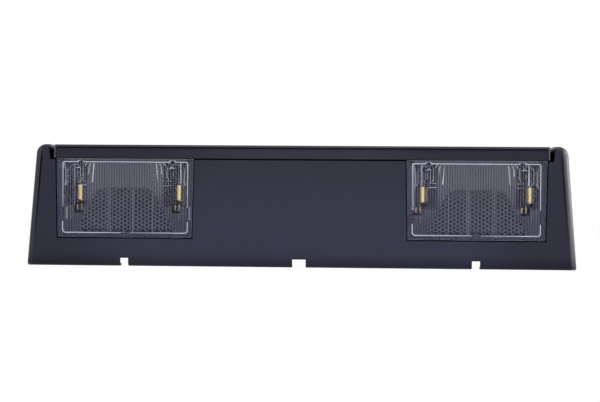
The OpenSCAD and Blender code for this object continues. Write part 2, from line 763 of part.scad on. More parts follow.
module feed_rail() {
  color([0.8, 0.64, 0.3]) {
    rail(feed_z, -spring_shift);
    slab(y_base_back, y_base_back + strip_t) translate([-pin_x - pin_w / 2, conn_z - 3])
      square([pin_w, feed_z - conn_z + 5]);
  }
}

// Its leg steps back, so that it clears the feed rail
module earth_rail() {
  x = pin_x - pin_w / 2;
  z1 = earth_z + 3;
  color([0.8, 0.64, 0.3]) {
    rail(earth_z, 0);
    translate([x, y_base_back, z1 - strip_t]) cube([pin_w, earth_step + strip_t, strip_t]);
    slab(y_base_back + earth_step, y_base_back + earth_step + strip_t) translate([x, conn_z - 3])
      square([pin_w, z1 - conn_z + 3]);
  }
}

module connector_pin(x, step) {
  y0 = y_base_back + step + strip_t;
  color([0.8, 0.64, 0.3]) translate([x - pin_w / 2, y0, conn_z - pin_t / 2])
    cube([pin_w, y_rim - 3 - y0, pin_t]);
}

module mount_inserts() {
  color([0.8, 0.64, 0.3]) for (x = [-lens_x, 0, lens_x]) difference() {
    rod(x, insert_z, insert_d, y_rim - insert_len, y_rim);
    rod(x, insert_z, insert_bore, y_rim - insert_len - 1, y_rim + 1);
  }
}

module rear_seal() {
  color([0.05, 0.05, 0.05]) slab(y_rim, y_back) difference() {
    house_outline(0.5);
    house_outline(rim_w - 0.5);
  }
}

front_cover();
rear_housing();
left_lens();
right_lens();
lens_gasket(-1);  // left_lens_gasket
lens_gasket(1);  // right_lens_gasket
lamp_base(-1);  // left_lamp_base
lamp_base(1);  // right_lamp_base
base_screws(-1);  // left_base_screws
base_screws(1);  // right_base_screws
bulb_glass(0);  // bulb_1_glass
bulb_glass(1);  // bulb_2_glass
bulb_glass(2);  // bulb_3_glass
bulb_glass(3);  // bulb_4_glass
bulb_cap(0);  // bulb_1_cap
bulb_cap(1);  // bulb_2_cap
bulb_cap(2);  // bulb_3_cap
bulb_cap(3);  // bulb_4_cap
bulb_filament(0);  // bulb_1_filament
bulb_filament(1);  // bulb_2_filament
bulb_filament(2);  // bulb_3_filament
bulb_filament(3);  // bulb_4_filament
socket(0);  // socket_1
socket(1);  // socket_2
socket(2);  // socket_3
socket(3);  // socket_4
contact_spring(0);  // contact_spring_1
contact_spring(1);  // contact_spring_2
contact_spring(2);  // contact_spring_3
contact_spring(3);  // contact_spring_4
feed_rail();
earth_rail();
connector_pin(-pin_x, 0);  // feed_pin
connector_pin(pin_x, earth_step);  // earth_pin
cover_screws();
mount_inserts();
rear_seal();
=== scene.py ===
"""Studio scene of a licence plate light bar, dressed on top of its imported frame.

The black cover and housing are finished copies of their solids. The two clear lenses are new
surfaces worked out with numpy, with their skirts, bulb bays, flutes and honeycomb. Everything
is in metres in the frame of the solids: X along the bar, Z up, the lenses look along -Y.
"""

import json
import logging
import math
from dataclasses import dataclass, field
from enum import Enum
from typing import Any, Sequence, Union

import bmesh
import bpy
import numpy as np
from mathutils import Matrix, Vector


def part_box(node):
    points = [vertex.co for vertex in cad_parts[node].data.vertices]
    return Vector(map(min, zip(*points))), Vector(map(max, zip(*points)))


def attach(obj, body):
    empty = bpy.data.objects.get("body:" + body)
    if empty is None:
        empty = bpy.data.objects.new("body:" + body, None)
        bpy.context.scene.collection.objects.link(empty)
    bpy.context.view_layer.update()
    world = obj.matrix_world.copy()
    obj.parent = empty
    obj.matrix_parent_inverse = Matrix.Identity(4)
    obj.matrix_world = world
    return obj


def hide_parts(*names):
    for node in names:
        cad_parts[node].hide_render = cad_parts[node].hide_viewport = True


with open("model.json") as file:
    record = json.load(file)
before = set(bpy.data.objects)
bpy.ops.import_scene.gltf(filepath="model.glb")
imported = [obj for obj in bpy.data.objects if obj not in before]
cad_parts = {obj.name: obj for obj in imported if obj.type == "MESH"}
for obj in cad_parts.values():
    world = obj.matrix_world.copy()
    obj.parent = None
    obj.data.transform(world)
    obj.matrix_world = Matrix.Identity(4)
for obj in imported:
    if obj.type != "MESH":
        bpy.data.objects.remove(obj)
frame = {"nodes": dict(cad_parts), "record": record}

LOG = logging.getLogger("light_bar")
MM = 0.001
ROOT = "root"
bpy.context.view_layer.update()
LENS_MIDDLE = 172.5

Colour = tuple[float, float, float]
Array = np.ndarray


# Shader maths


class Value:
    """A number in a shader. Python's operators on it add the Math nodes."""

    def __init__(self, tree: "Nodes", socket: bpy.types.NodeSocket) -> None:
        """Wraps a socket.

        Args:
            tree: The material's node builder.
            socket: The output that gives the number.
        """
        self.tree = tree
        self.socket = socket

    def _math(self, operation: str, left: Any, right: Any) -> "Value":
        """Adds one Math node.

        Args:
            operation: The node's operation, such as ADD.
            left: The first number or Value.
            right: The second number or Value.

        Returns:
            The node's result.
        """
        node = self.tree.node("ShaderNodeMath", {"operation": operation}, {0: left, 1: right})
        return Value(self.tree, node.outputs[0])

    def __add__(self, other: Any) -> "Value":
        """The sum."""
        return self._math("ADD", self, other)

    def __radd__(self, other: Any) -> "Value":
        """The sum, reflected."""
        return self._math("ADD", other, self)

    def __sub__(self, other: Any) -> "Value":
        """The difference."""
        return self._math("SUBTRACT", self, other)

    def __rsub__(self, other: Any) -> "Value":
        """The difference, reflected."""
        return self._math("SUBTRACT", other, self)

    def __mul__(self, other: Any) -> "Value":
        """The product."""
        return self._math("MULTIPLY", self, other)

    def __rmul__(self, other: Any) -> "Value":
        """The product, reflected."""
        return self._math("MULTIPLY", other, self)

    def __truediv__(self, other: Any) -> "Value":
        """The quotient."""
        return self._math("DIVIDE", self, other)

    def __pow__(self, other: Any) -> "Value":
        """The power."""
        return self._math("POWER", self, other)

    def clamped(self) -> "Value":
        """The number held between 0 and 1."""
        return self._math("MINIMUM", self._math("MAXIMUM", self, 0.0), 1.0)

    def size(self) -> "Value":
        """The number without its sign."""
        return self._math("ABSOLUTE", self, 0.0)

    def step(self, low: float, high: float) -> "Value":
        """A smooth step.

        Args:
            low: Where the step starts from 0.
            high: Where it reaches 1.

        Returns:
            The stepped number.
        """
        node = self.tree.node(
            "ShaderNodeMapRange",
            {"interpolation_type": "SMOOTHSTEP"},
            {"Value": self, "From Min": low, "From Max": high, "To Min": 0.0, "To Max": 1.0},
        )
        return Value(self.tree, node.outputs["Result"])


Number = Union[float, Value]


class Nodes:
    """Builds the node tree of one material or of the world."""

    def __init__(self, name: str, world: bool = False) -> None:
        """Makes an empty material or world.

        Args:
            name: Its name.
            world: Whether it is a world.
        """
        self.owner = (bpy.data.worlds if world else bpy.data.materials).new(name)
        self.owner.use_nodes = True
        self.tree = self.owner.node_tree
        self.tree.nodes.clear()
        self.output = self.node(f"ShaderNodeOutput{'World' if world else 'Material'}", {}, {})

    def node(self, kind: str, settings: dict[str, Any], inputs: dict[Any, Any]) -> bpy.types.Node:
        """Adds a node.

        Args:
            kind: The node's type.
            settings: Its settings, which are set first. The key "ramp" holds a colour ramp's stops.
            inputs: Numbers, colours, Values or sockets for its inputs, by name or index.

        Returns:
            The node.
        """
        made = self.tree.nodes.new(kind)
        for key, value in settings.items():
            if key == "ramp":
                stops = made.color_ramp.elements
                while len(stops) < len(value):
                    stops.new(0.5)
                for stop, (place, colour) in zip(stops, value):
                    stop.position = place
                    stop.color = (*colour, 1.0)
            else:
                setattr(made, key, value)
        for key, value in inputs.items():
            if isinstance(value, Value):
                self.tree.links.new(value.socket, made.inputs[key])
            elif isinstance(value, bpy.types.NodeSocket):
                self.tree.links.new(value, made.inputs[key])
            else:
                made.inputs[key].default_value = value
        return made

    def place(self) -> bpy.types.NodeSocket:
        """The point's place on the object, in metres."""
        return self.node("ShaderNodeTexCoord", {}, {}).outputs["Object"]

    def axis(self, index: int) -> Value:
        """One coordinate of the point's place.

        Args:
            index: 0 for X, 1 for Y, 2 for Z.

        Returns:
            The coordinate in metres.
        """
        split = self.node("ShaderNodeSeparateXYZ", {}, {"Vector": self.place()})
        return Value(self, split.outputs[index])

    def attribute(self, name: str) -> Value:
        """A number stored at the mesh's vertices.

        Args:
            name: The attribute's name.

        Returns:
            The number.
        """
        made = self.node("ShaderNodeAttribute", {"attribute_name": name}, {})
        return Value(self, made.outputs["Fac"])

    def noise(self, size: float, detail: float = 2.0, stretch: Colour = (1.0, 1.0, 1.0)) -> Value:
        """Cloudy noise.

        Args:
            size: The size of its blobs in metres.
            detail: Its finer octaves.
            stretch: How much longer the blobs are along X, Y and Z.

        Returns:
            A number about 0.5.
        """
        scale = tuple(1.0 / s for s in stretch)
        mapped = self.node("ShaderNodeMapping", {}, {"Vector": self.place(), "Scale": scale})
        made = self.node(
            "ShaderNodeTexNoise",
            {},
            {"Vector": mapped.outputs[0], "Scale": 1.0 / size, "Detail": detail},
        )
        return Value(self, made.outputs["Fac"])

    def blend(self, low: Any, high: Any, amount: Number) -> bpy.types.NodeSocket:
        """A mix of two colours.

        Args:
            low: The colour or socket at 0.
            high: The colour or socket at 1.
            amount: How much of the second.

        Returns:
            The mixed colour.
        """
        low, high = (c if isinstance(c, bpy.types.NodeSocket) else (*c, 1.0) for c in (low, high))
        made = self.node(
            "ShaderNodeMix", {"data_type": "RGBA"}, {"Factor": amount, 6: low, 7: high}
        )
        return made.outputs[2]

    def bump(
        self,
        height: Value,
        distance: float,
        strength: float = 1.0,
        under: Union[bpy.types.NodeSocket, None] = None,
    ) -> bpy.types.NodeSocket:
        """A normal from a height.

        Args:
            height: The height, from 0 to 1.
            distance: The height's reach in metres.
            strength: How strongly it shows.
            under: A normal that it is added to.

        Returns:
            The normal.
        """
        inputs = {"Height": height, "Distance": distance, "Strength": strength}
        if under is not None:
            inputs["Normal"] = under
        return self.node("ShaderNodeBump", {}, inputs).outputs["Normal"]

    def principled(self, inputs: dict[str, Any]) -> bpy.types.NodeSocket:
        """A Principled shader.

        Args:
            inputs: Its inputs.

        Returns:
            Its output.
        """
        return self.node("ShaderNodeBsdfPrincipled", {}, inputs).outputs[0]

    def seen(self) -> Value:
        """1 for a ray from the camera, a mirrored ray and one that came through glass, else 0."""
        path = self.node("ShaderNodeLightPath", {}, {})
        names = ("Is Camera Ray", "Is Glossy Ray", "Is Transmission Ray")
        camera, glossy, through = (Value(self, path.outputs[name]) for name in names)
        return (camera + glossy + through).clamped()

    def finish(self, surface: bpy.types.NodeSocket) -> Any:
        """Links the surface to the output.

        Args:
            surface: The shader.

        Returns:
            The finished material or world.
        """
        self.tree.links.new(surface, self.output.inputs["Surface"])
        return self.owner


def shade(colour: Colour, factor: float) -> Colour:
    """A colour made lighter or darker.

    Args:
        colour: The colour.
        factor: What its parts are multiplied by.

    Returns:
        The new colour.
    """
    return tuple(min(1.0, c * factor) for c in colour)


# Finishes


@dataclass(frozen=True)
class MouldedPlastic:
    """Opaque moulded plastic with a fine spark-eroded grain."""

    colour: Colour
    rough: float = 0.40
    shine: float = 0.30
    grain: float = 0.45 * MM
    depth: float = 0.02 * MM
    mottle: float = 0.20
    # Painted shade: the upper colour, where given, darkens the face towards its top.
    upper: Union[Colour, None] = None
    # Painted shade: the ends colour, where given, darkens both ends of the bar across span.
    ends: Union[Colour, None] = None
    span: tuple[float, float] = (150 * MM, 235 * MM)

    def crease(self, n: Nodes) -> Number:
        """How much painted shade the point takes, as in a crease, 0 for none and 1 for dark.

        Args:
            n: The material's node builder, not used here.

        Returns:
            The share of shadow.
        """
        return 0.0

    def polish(self, n: Nodes) -> Number:
        """How polished the point is, 0 for as moulded.

        Args:
            n: The material's node builder, not used here.

        Returns:
            The share of polish.
        """
        return 0.0

    def relief(self, n: Nodes, under: bpy.types.NodeSocket) -> bpy.types.NodeSocket:
        """The normal of the moulding's own small shapes, which plain plastic has none of.

        Args:
            n: The material's node builder, not used here.
            under: The grain's normal.

        Returns:
            The normal.
        """
        return under

    def material(self, name: str) -> bpy.types.Material:
        """Makes the material.

        Args:
            name: Its name.

        Returns:
            The material.
        """
        n = Nodes(name)
        cloud = n.noise(14 * MM, 3.0)
        grain = n.noise(self.grain, 2.0)
        flow = n.noise(3 * MM, 1.0, (6.0, 1.0, 1.0))
        deep, pale = (shade(self.colour, 1 + part * self.mottle) for part in (-1, 1))
        # Painted shade towards the top: low is 1 at the foot and falls as the face rises.
        low = n.axis(2).step(35 * MM, 118 * MM) * -0.9 + 1.0
        tone = n.blend(self.upper or self.colour, n.blend(deep, pale, cloud), low)
        # Painted shade towards both ends of the bar.
        away = n.axis(0).size().step(*self.span)
        tone = n.blend(tone, self.ends or self.colour, away)
        rough = self.rough + (cloud - 0.5) * 0.10 + (grain - 0.5) * 0.08
        height = grain * 0.85 + flow * 0.15
        skin = n.principled(
            {
                "Base Color": tone,
                "Roughness": rough,
                "Specular IOR Level": self.shine,
                "Coat Weight": self.polish(n),
                "Coat Roughness": 0.25,
                "Normal": self.relief(n, n.bump(height, self.depth)),
            }
        )
        # Painted shadow: a near-black diffuse, mixed in by the crease's share.
        shadow = n.node("ShaderNodeBsdfDiffuse", {}, {"Color": (0.004, 0.004, 0.006, 1.0)})
        mixed = n.node(
            "ShaderNodeMixShader", {}, {0: self.crease(n), 1: skin, 2: shadow.outputs[0]}
        )
        return n.finish(mixed.outputs[0])


@dataclass(frozen=True)
class CoverPlastic(MouldedPlastic):
    """The cover's plastic, with painted shade in the lens joints and the crease along its sides.

    The right side's crease and roll lie a little further in than the left side's.
    """

    foot_x: float = 269.84 * MM
    lean: float = 0.0769
    crease_at: float = 6.1 * MM
    crease_width: float = 1.35 * MM
    further_in: float = 0.9 * MM
    ridge_at: float = 3.4 * MM
    ridge_width: float = 0.55 * MM
    roll: float = 2.4 * MM

    def from_side(self, n: Nodes) -> Value:
        """The point's distance from the leaning side.

        It is the side's x at the point's height less the point's own x without its sign.

        Args:
            n: The material's node builder.

        Returns:
            The distance in metres.
        """
        return self.foot_x - n.axis(2) * self.lean - n.axis(0).size()

    def relief(self, n: Nodes, under: bpy.types.NodeSocket) -> bpy.types.NodeSocket:
        """The side's wide roll: the height falls in a smooth step towards the side.

        Args:
            n: The material's node builder.
            under: The grain's normal.

        Returns:
            The normal.
        """
        fall = self.from_side(n).step(0.4 * MM, 6.0 * MM)
        return n.bump(fall, self.roll, 1.0, under)

    def polish(self, n: Nodes) -> Number:
        """The roll along the right side is rubbed to a shine.

        Args:
            n: The material's node builder.

        Returns:
            The share of polish.
        """
        band = 1.0 - self.from_side(n).step(4.5 * MM, 6.0 * MM)
        return band * n.axis(0).step(0.0, 1 * MM) * 0.9

    def crease(self, n: Nodes) -> Number:
        """The shadow at a distance d from the leaning side, a bell about the crease's own distance.

        The right side has a second, finer bell on its ridge. Both fade out towards the foot and
        the head, and the shadow fills the joint round each lens and lies along the foot.

        Args:
            n: The material's node builder.

        Returns:
            The share of shadow.
        """
        x, y, z = n.axis(0), n.axis(1), n.axis(2)
        out = x.size()
        right = x.step(0.0, 1 * MM)
        d = self.from_side(n) - right * self.further_in
        bell = 1.0 - ((d - self.crease_at) / self.crease_width).size().step(0.3, 1.0)
        fine = 1.0 - ((d - self.ridge_at) / self.ridge_width).size().step(0.2, 1.0)
        side = (bell * (1.0 - right * 0.3) + fine * right * 0.7) * z.step(5 * MM, 85 * MM)
        side = side * (1.0 - z.step(106 * MM, 116 * MM))
        near = 1.0 - (out - LENS_MIDDLE * MM).size().step(70 * MM, 71 * MM)
        joint = near * y.step(-23.5 * MM, -22.4 * MM) * (1.0 - y.step(-18 * MM, -17 * MM))
        joint = joint * z.step(25 * MM, 26 * MM) * (1.0 - z.step(108 * MM, 109 * MM))
        foot = (1.0 - z.step(1.0 * MM, 16.0 * MM)) * 0.42
        return (side * 0.95 + joint * 0.97 + foot).clamped()


@dataclass(frozen=True)
class LipPlastic(MouldedPlastic):
    """The housing's plastic, with painted shade in the crease under its rolled upper edge."""

    crease_z: float = 116.9 * MM
    crease_width: float = 1.4 * MM

    def crease(self, n: Nodes) -> Number:
        """The shadow on the front lip, a narrow bell about the crease's height.

        Args:
            n: The material's node builder.

        Returns:
            The share of shadow.
        """
        y, z = n.axis(1), n.axis(2)
        bell = 1.0 - ((z - self.crease_z) / self.crease_width).size().step(0.3, 1.0)
        return bell * (1.0 - y.step(-17.5 * MM, -16.5 * MM)) * 0.95


@dataclass(frozen=True)
class ClearPlastic:
    """Clear moulded plastic, see-through, with painted light at its edges and shade in its pits.

    The mesh attribute "edge" is above 0 for painted light where light leaves an edge, and below
    0 for painted shade in a pit. The front face mirrors by Fresnel's share, less what it is
    square on.
    """

    painted_light_tint: Colour = (0.90, 0.89, 0.85)
    faint: Colour = (0.60, 0.62, 0.80)
    pit_painted_shade: Colour = (0.006, 0.006, 0.012)
    veil: float = 0.03
    gloss: float = 1.0
    square_on: float = 0.035
    shine: float = 0.3

    def material(self, name: str) -> bpy.types.Material:
        """Makes the material.

        Args:
            name: Its name.

        Returns:
            The material.
        """
        n = Nodes(name)
        edge = n.attribute("edge")
        # Painted light at the edges and painted shade in the pits, read from the edge attribute.
        light, pit = edge.clamped(), (0.0 - edge).clamped()
        cloud = n.noise(9 * MM, 2.0)
        fine = n.noise(1.2 * MM, 2.0, (1.0, 1.0, 5.0))
        cover = (self.veil * (0.6 + cloud * 0.8) + light * (0.9 + fine * 0.2) + pit).clamped()
        # The painted light's tint at the edges, and the painted shade's near-black in the pits.
        tone = n.blend(self.faint, self.painted_light_tint, light.step(0.10, 0.45))
        tone = n.blend(tone, self.pit_painted_shade, pit.step(0.0, 0.2))
        paint = n.principled(
            {
                "Base Color": tone,
                "Roughness": 0.20 + light * 0.15,
                "Specular IOR Level": self.shine,
                "Normal": n.bump(fine, 0.01 * MM, 0.4),
            }
        )
        clear = n.node("ShaderNodeBsdfTransparent", {}, {"Color": (0.97, 0.97, 1.0, 1.0)})
        body = n.node("ShaderNodeMixShader", {}, {0: cover, 1: clear.outputs[0], 2: paint})
        wave = n.bump(cloud, 0.006 * MM)
        mirror = n.node(
            "ShaderNodeBsdfGlossy",
            {},
            {"Color": (0.95, 0.95, 1.0, 1.0), "Roughness": 0.03, "Normal": wave},
        )
        fresnel = n.node("ShaderNodeFresnel", {}, {"IOR": 1.49})
        behind = n.node("ShaderNodeNewGeometry", {}, {}).outputs["Backfacing"]
        sheen = (Value(n, fresnel.outputs[0]) - self.square_on) * self.gloss
        sheen = sheen * (1.0 - Value(n, behind))
        mixed = n.node(
            "ShaderNodeMixShader", {}, {0: sheen, 1: body.outputs[0], 2: mirror.outputs[0]}
        )
        return n.finish(mixed.outputs[0])


@dataclass(frozen=True)
class FlutedPlastic:
    """Clear plastic with fine relief, each flank painted light or dark for what it sends the eye.

    The mesh attribute "edge" is 1 at a flank with painted light, 2 at an edge with a painted
    highlight, -1 at a flank with painted shade and below -2 where the plastic is plain. The
    plastic is clearer near the bulbs, most so between its light flanks, and it takes painted
    shade towards its foot.
    """

    cover: float
    light: Colour = (0.134, 0.137, 0.153)
    dark: Colour = (0.054, 0.055, 0.064)
    painted_highlight: Colour = (0.24, 0.24, 0.26)
    shadow: Colour = (0.016, 0.016, 0.022)
    clearer: float = 0.8
    dim: float = 0.6

    def material(self, name: str) -> bpy.types.Material:
        """Makes the material.

        Args:
            name: Its name.

        Returns:
            The material.
        """
        n = Nodes(name)
        edge = n.attribute("edge")
        away = (n.axis(0).size() - LENS_MIDDLE * MM).size().step(35 * MM, 41 * MM)
        near = away * n.axis(2).step(56 * MM, 62 * MM)
        fine = n.noise(1.2 * MM, 2.0, (1.0, 1.0, 5.0))
        # Painted light and shade: share picks the light or the dark tone of each flank.
        share = (edge * 0.5 + 0.5 + (fine - 0.5) * 0.25).clamped()
        gone = near * self.clearer * (1.2 - share.step(0.35, 0.8) * 0.8)
        cover = edge.step(-2.4, -1.4) * (1.0 - gone).clamped() * self.cover
        # Painted shade towards the foot.
        low = (1.0 - n.axis(2).step(40 * MM, 82 * MM)) * self.dim
        tone = n.blend(n.blend(self.dark, self.light, share), self.shadow, low)
        paint = n.principled(
            {
                "Base Color": n.blend(tone, self.painted_highlight, edge.step(1.3, 2.0)),
                "Roughness": 0.35 + fine * 0.1,
                "Specular IOR Level": 0.05,
                "Normal": n.bump(fine, 0.01 * MM, 0.4),
            }
        )
        clear = n.node("ShaderNodeBsdfTransparent", {}, {"Color": (0.97, 0.97, 1.0, 1.0)})
        mixed = n.node("ShaderNodeMixShader", {}, {0: cover, 1: clear.outputs[0], 2: paint})
        return n.finish(mixed.outputs[0])


@dataclass(frozen=True)
class Brass:
    """Stamped or drawn brass with fine lines along Z, a little tarnish and painted shade behind."""

    bright: Colour = (0.72, 0.52, 0.22)
    dull: Colour = (0.40, 0.26, 0.10)
    dark: Colour = (0.05, 0.035, 0.02)
    rough: float = 0.24
    back_painted_shade: float = 0.0
    back_shade_depths: tuple[float, float] = (-10 * MM, -7 * MM)

    def tone(self, n: Nodes, tarnish: Value) -> bpy.types.NodeSocket:
        """The brass's colour.

        Args:
            n: The material's node builder.
            tarnish: Cloudy noise about 0.5.

        Returns:
            The colour.
        """
        return n.blend(self.bright, self.dull, tarnish.step(0.4, 0.75) * 0.7)

    def material(self, name: str) -> bpy.types.Material:
        """Makes the material.

        Args:
            name: Its name.

        Returns:
            The material.
        """
        n = Nodes(name)
        tarnish = n.noise(4 * MM, 2.0)
        lines = n.noise(0.3 * MM, 1.0, (1.0, 1.0, 24.0))
        # Painted shade towards the back, where the brass lies deep in the lamp.
        deep = n.axis(1).step(*self.back_shade_depths) * self.back_painted_shade
        return n.finish(
            n.principled(
                {
                    "Base Color": n.blend(self.tone(n, tarnish), self.dark, deep),
                    "Metallic": 0.94,
                    "Roughness": self.rough + tarnish * 0.08 + (lines - 0.5) * 0.05,
                    "Normal": n.bump(lines, 0.002 * MM),
                }
            )
        )


@dataclass(frozen=True)
class PaintedReflectionBrass(Brass):
    """A brass barrel with painted reflections: bright and dark streaks along it, same way round."""

    # Painted reflections: bright and dark bands by the normal's X, across the barrel.
    stops: tuple[tuple[float, Colour], ...] = (
        (0.00, (0.10, 0.07, 0.04)),
        (0.09, (0.60, 0.44, 0.20)),
        (0.21, (0.07, 0.05, 0.03)),
        (0.33, (0.62, 0.52, 0.24)),
        (0.47, (0.84, 0.74, 0.38)),
        (0.57, (0.66, 0.55, 0.24)),
        (0.64, (0.10, 0.08, 0.035)),
        (0.74, (0.12, 0.095, 0.04)),
        (0.86, (0.48, 0.35, 0.14)),
        (0.95, (0.22, 0.12, 0.06)),
    )

    def tone(self, n: Nodes, tarnish: Value) -> bpy.types.NodeSocket:
        """The painted reflections' colour, looked up by the surface normal's X.

        Args:
            n: The material's node builder.
            tarnish: Cloudy noise about 0.5.

        Returns:
            The colour.
        """
        facing = n.node("ShaderNodeNewGeometry", {}, {}).outputs["Normal"]
        split = n.node("ShaderNodeSeparateXYZ", {}, {"Vector": facing})
        place = Value(n, split.outputs[0]) * 0.5 + 0.5 + (tarnish - 0.5) * 0.03
        ramp = n.node("ShaderNodeValToRGB", {"ramp": self.stops}, {"Fac": place})
        return n.blend(ramp.outputs[0], self.dull, tarnish.step(0.55, 0.9) * 0.3)


# Painted reflections across a leaf's lugs, by the normal's X.
LEAF_PAINTED_REFLECTIONS: tuple[tuple[float, Colour], ...] = (
    (0.00, (0.06, 0.04, 0.03)),
    (0.15, (0.34, 0.20, 0.10)),
    (0.30, (0.56, 0.42, 0.22)),
    (0.42, (0.80, 0.68, 0.42)),
    (0.52, (0.62, 0.46, 0.24)),
    (0.66, (0.26, 0.15, 0.08)),
    (0.82, (0.42, 0.28, 0.15)),
    (1.00, (0.05, 0.04, 0.03)),
)


@dataclass(frozen=True)
class BulbGlass:
    """Thin clear blown glass: all reflection at its rim, nearly nothing in the middle."""

    veil: float = 0.03

    def material(self, name: str) -> bpy.types.Material:
        """Makes the material.

        Args:
            name: Its name.

        Returns:
            The material.
        """
        n = Nodes(name)
        seed = n.noise(2.5 * MM, 1.0, (1.0, 1.0, 4.0))
        rim = n.node("ShaderNodeLayerWeight", {}, {"Blend": 0.35})
        cover = (Value(n, rim.outputs["Facing"]) ** 2.0 * 0.55 + self.veil * seed * 2.0).clamped()
        mirror = n.node(
            "ShaderNodeBsdfGlossy", {}, {"Color": (0.9, 0.92, 0.95, 1.0), "Roughness": 0.05}
        )
        clear = n.node("ShaderNodeBsdfTransparent", {}, {"Color": (0.96, 0.97, 0.97, 1.0)})
        mixed = n.node(
            "ShaderNodeMixShader", {}, {0: cover, 1: clear.outputs[0], 2: mirror.outputs[0]}
        )
        return n.finish(mixed.outputs[0])


@dataclass(frozen=True)
class FoamRubber:
    """Closed-cell foam with open pores on its skin."""

    colour: Colour = (0.014, 0.014, 0.015)

    def material(self, name: str) -> bpy.types.Material:
        """Makes the material.

        Args:
            name: Its name.

        Returns:
            The material.
        """
        n = Nodes(name)
        cells = n.node(
            "ShaderNodeTexVoronoi", {}, {"Vector": n.place(), "Scale": 1.0 / (0.7 * MM)}
        )
        pore = Value(n, cells.outputs["Distance"])
        tone = n.blend(shade(self.colour, 0.6), shade(self.colour, 1.7), pore)
        return n.finish(
            n.principled(
                {
                    "Base Color": tone,
                    "Roughness": 0.75 + pore * 0.15,
                    "Specular IOR Level": 0.1,
                    "Normal": n.bump(pore, 0.12 * MM),
                }
            )
        )


@dataclass(frozen=True)
class PlatedSteel:
    """Zinc-plated or drawn steel with light scratches."""

    colour: Colour = (0.62, 0.62, 0.60)
    rough: float = 0.30

    def material(self, name: str) -> bpy.types.Material:
        """Makes the material.

        Args:
            name: Its name.

        Returns:
            The material.
        """
        n = Nodes(name)
        spangle = n.noise(0.9 * MM, 3.0)
        scratch = n.noise(0.2 * MM, 2.0, (8.0, 1.0, 1.0))
        tone = n.blend(shade(self.colour, 0.8), shade(self.colour, 1.1), spangle)
        return n.finish(
            n.principled(
                {
                    "Base Color": tone,
                    "Metallic": 1.0,
                    "Roughness": self.rough + (scratch - 0.5) * 0.12,
                    "Normal": n.bump(scratch, 0.008 * MM),
                }
            )
        )


class Finish(Enum):
    """The finishes of the bar's pieces, by the record's slot names."""

    COVER = "cover_plastic"
    HOUSING = "housing_plastic"
    PAINTED_LIGHT = "housing_plastic_rubbed"
    BASE = "base_plastic"
    CLEAR = "clear_plastic"
    RELIEF = "clear_plastic_relief"
    FLUTES = "clear_plastic_flutes"
    CELLS = "clear_plastic_cells"
    FLANGE = "clear_plastic_flange"
    RUBBER = "black_rubber"
    SPRING = "spring_brass"
    CAP = "cap_brass"
    BARREL = "drawn_brass"
    LEAF = "leaf_brass"
    BULB = "bulb_glass"
    WIRE = "filament_wire"
    SCREW = "zinc_steel"


@dataclass
class Palette:
    """Makes each finish's material once and hands it out."""

    recipes: dict[Finish, Any] = field(
        default_factory=lambda: {
            # Painted shade: the upper and ends colours darken the face towards its top and its
            # ends.
            Finish.COVER: CoverPlastic(
                (0.0140, 0.0165, 0.037), upper=(0.007, 0.0075, 0.019), ends=(0.0062, 0.0068, 0.0205)
            ),
            # Painted shade: the ends colour darkens the lip towards both ends of the bar.
            Finish.HOUSING: LipPlastic(
                (0.0095, 0.0103, 0.0215),
                rough=0.38,
                ends=(0.0035, 0.0038, 0.0140),
                span=(60 * MM, 150 * MM),
            ),
            # Painted light: a far lighter copy of the housing's plastic for the webs and beads.
            Finish.PAINTED_LIGHT: MouldedPlastic((0.060, 0.061, 0.066), rough=0.25, shine=0.5),
            Finish.BASE: MouldedPlastic((0.008, 0.008, 0.013), rough=0.6, shine=0.1),
            # Painted light at the edges of the pane, skirt, snaps and bays.
            Finish.CLEAR: ClearPlastic(veil=0.006, faint=(0.50, 0.50, 1.0)),
            Finish.RELIEF: ClearPlastic(veil=0.0, gloss=0.0, shine=0.08),
            # Painted light and shade on the flutes' flanks and on the cells' rims and middles.
            Finish.FLUTES: FlutedPlastic(0.92),
            Finish.CELLS: FlutedPlastic(
                0.94, light=(0.144, 0.145, 0.153), dark=(0.013, 0.013, 0.017), dim=0.0
            ),
            # Painted reflection: the flange's tones stand in for the pane's mirror.
            Finish.FLANGE: FlutedPlastic(
                0.85, light=(0.170, 0.170, 0.186), dark=(0.028, 0.028, 0.044), clearer=0.0, dim=0.0
            ),
            Finish.RUBBER: FoamRubber(),
            Finish.SPRING: Brass(),
            # Painted reflections, looked up by the normal, on the caps, barrels and leaves.
            Finish.CAP: PaintedReflectionBrass(),
            # Painted shade at the back of the barrels and the leaves.
            Finish.BARREL: PaintedReflectionBrass(back_painted_shade=0.95),
            Finish.LEAF: PaintedReflectionBrass(stops=LEAF_PAINTED_REFLECTIONS, back_painted_shade=0.9, back_shade_depths=(-7.2 * MM, -6.5 * MM)),
            Finish.BULB: BulbGlass(),
            Finish.WIRE: PlatedSteel((0.45, 0.45, 0.47)),
            Finish.SCREW: PlatedSteel(),
        }
    )
    made: dict[str, bpy.types.Material] = field(default_factory=dict)

    def get(self, finish: Finish) -> bpy.types.Material:
        """The finish's material.

        Args:
            finish: Which finish.

        Returns:
            The material, made at its first use.
        """
        if finish.value not in self.made:
            self.made[finish.value] = self.recipes[finish].material(finish.value)
        return self.made[finish.value]

    def paint(self, piece: bpy.types.Object, finish: Finish) -> None:
        """Gives a piece one finish all over.

        Args:
            piece: The piece or CAD node.
            finish: Which finish.
        """
        piece.data.materials.clear()
        piece.data.materials.append(self.get(finish))


# Meshes


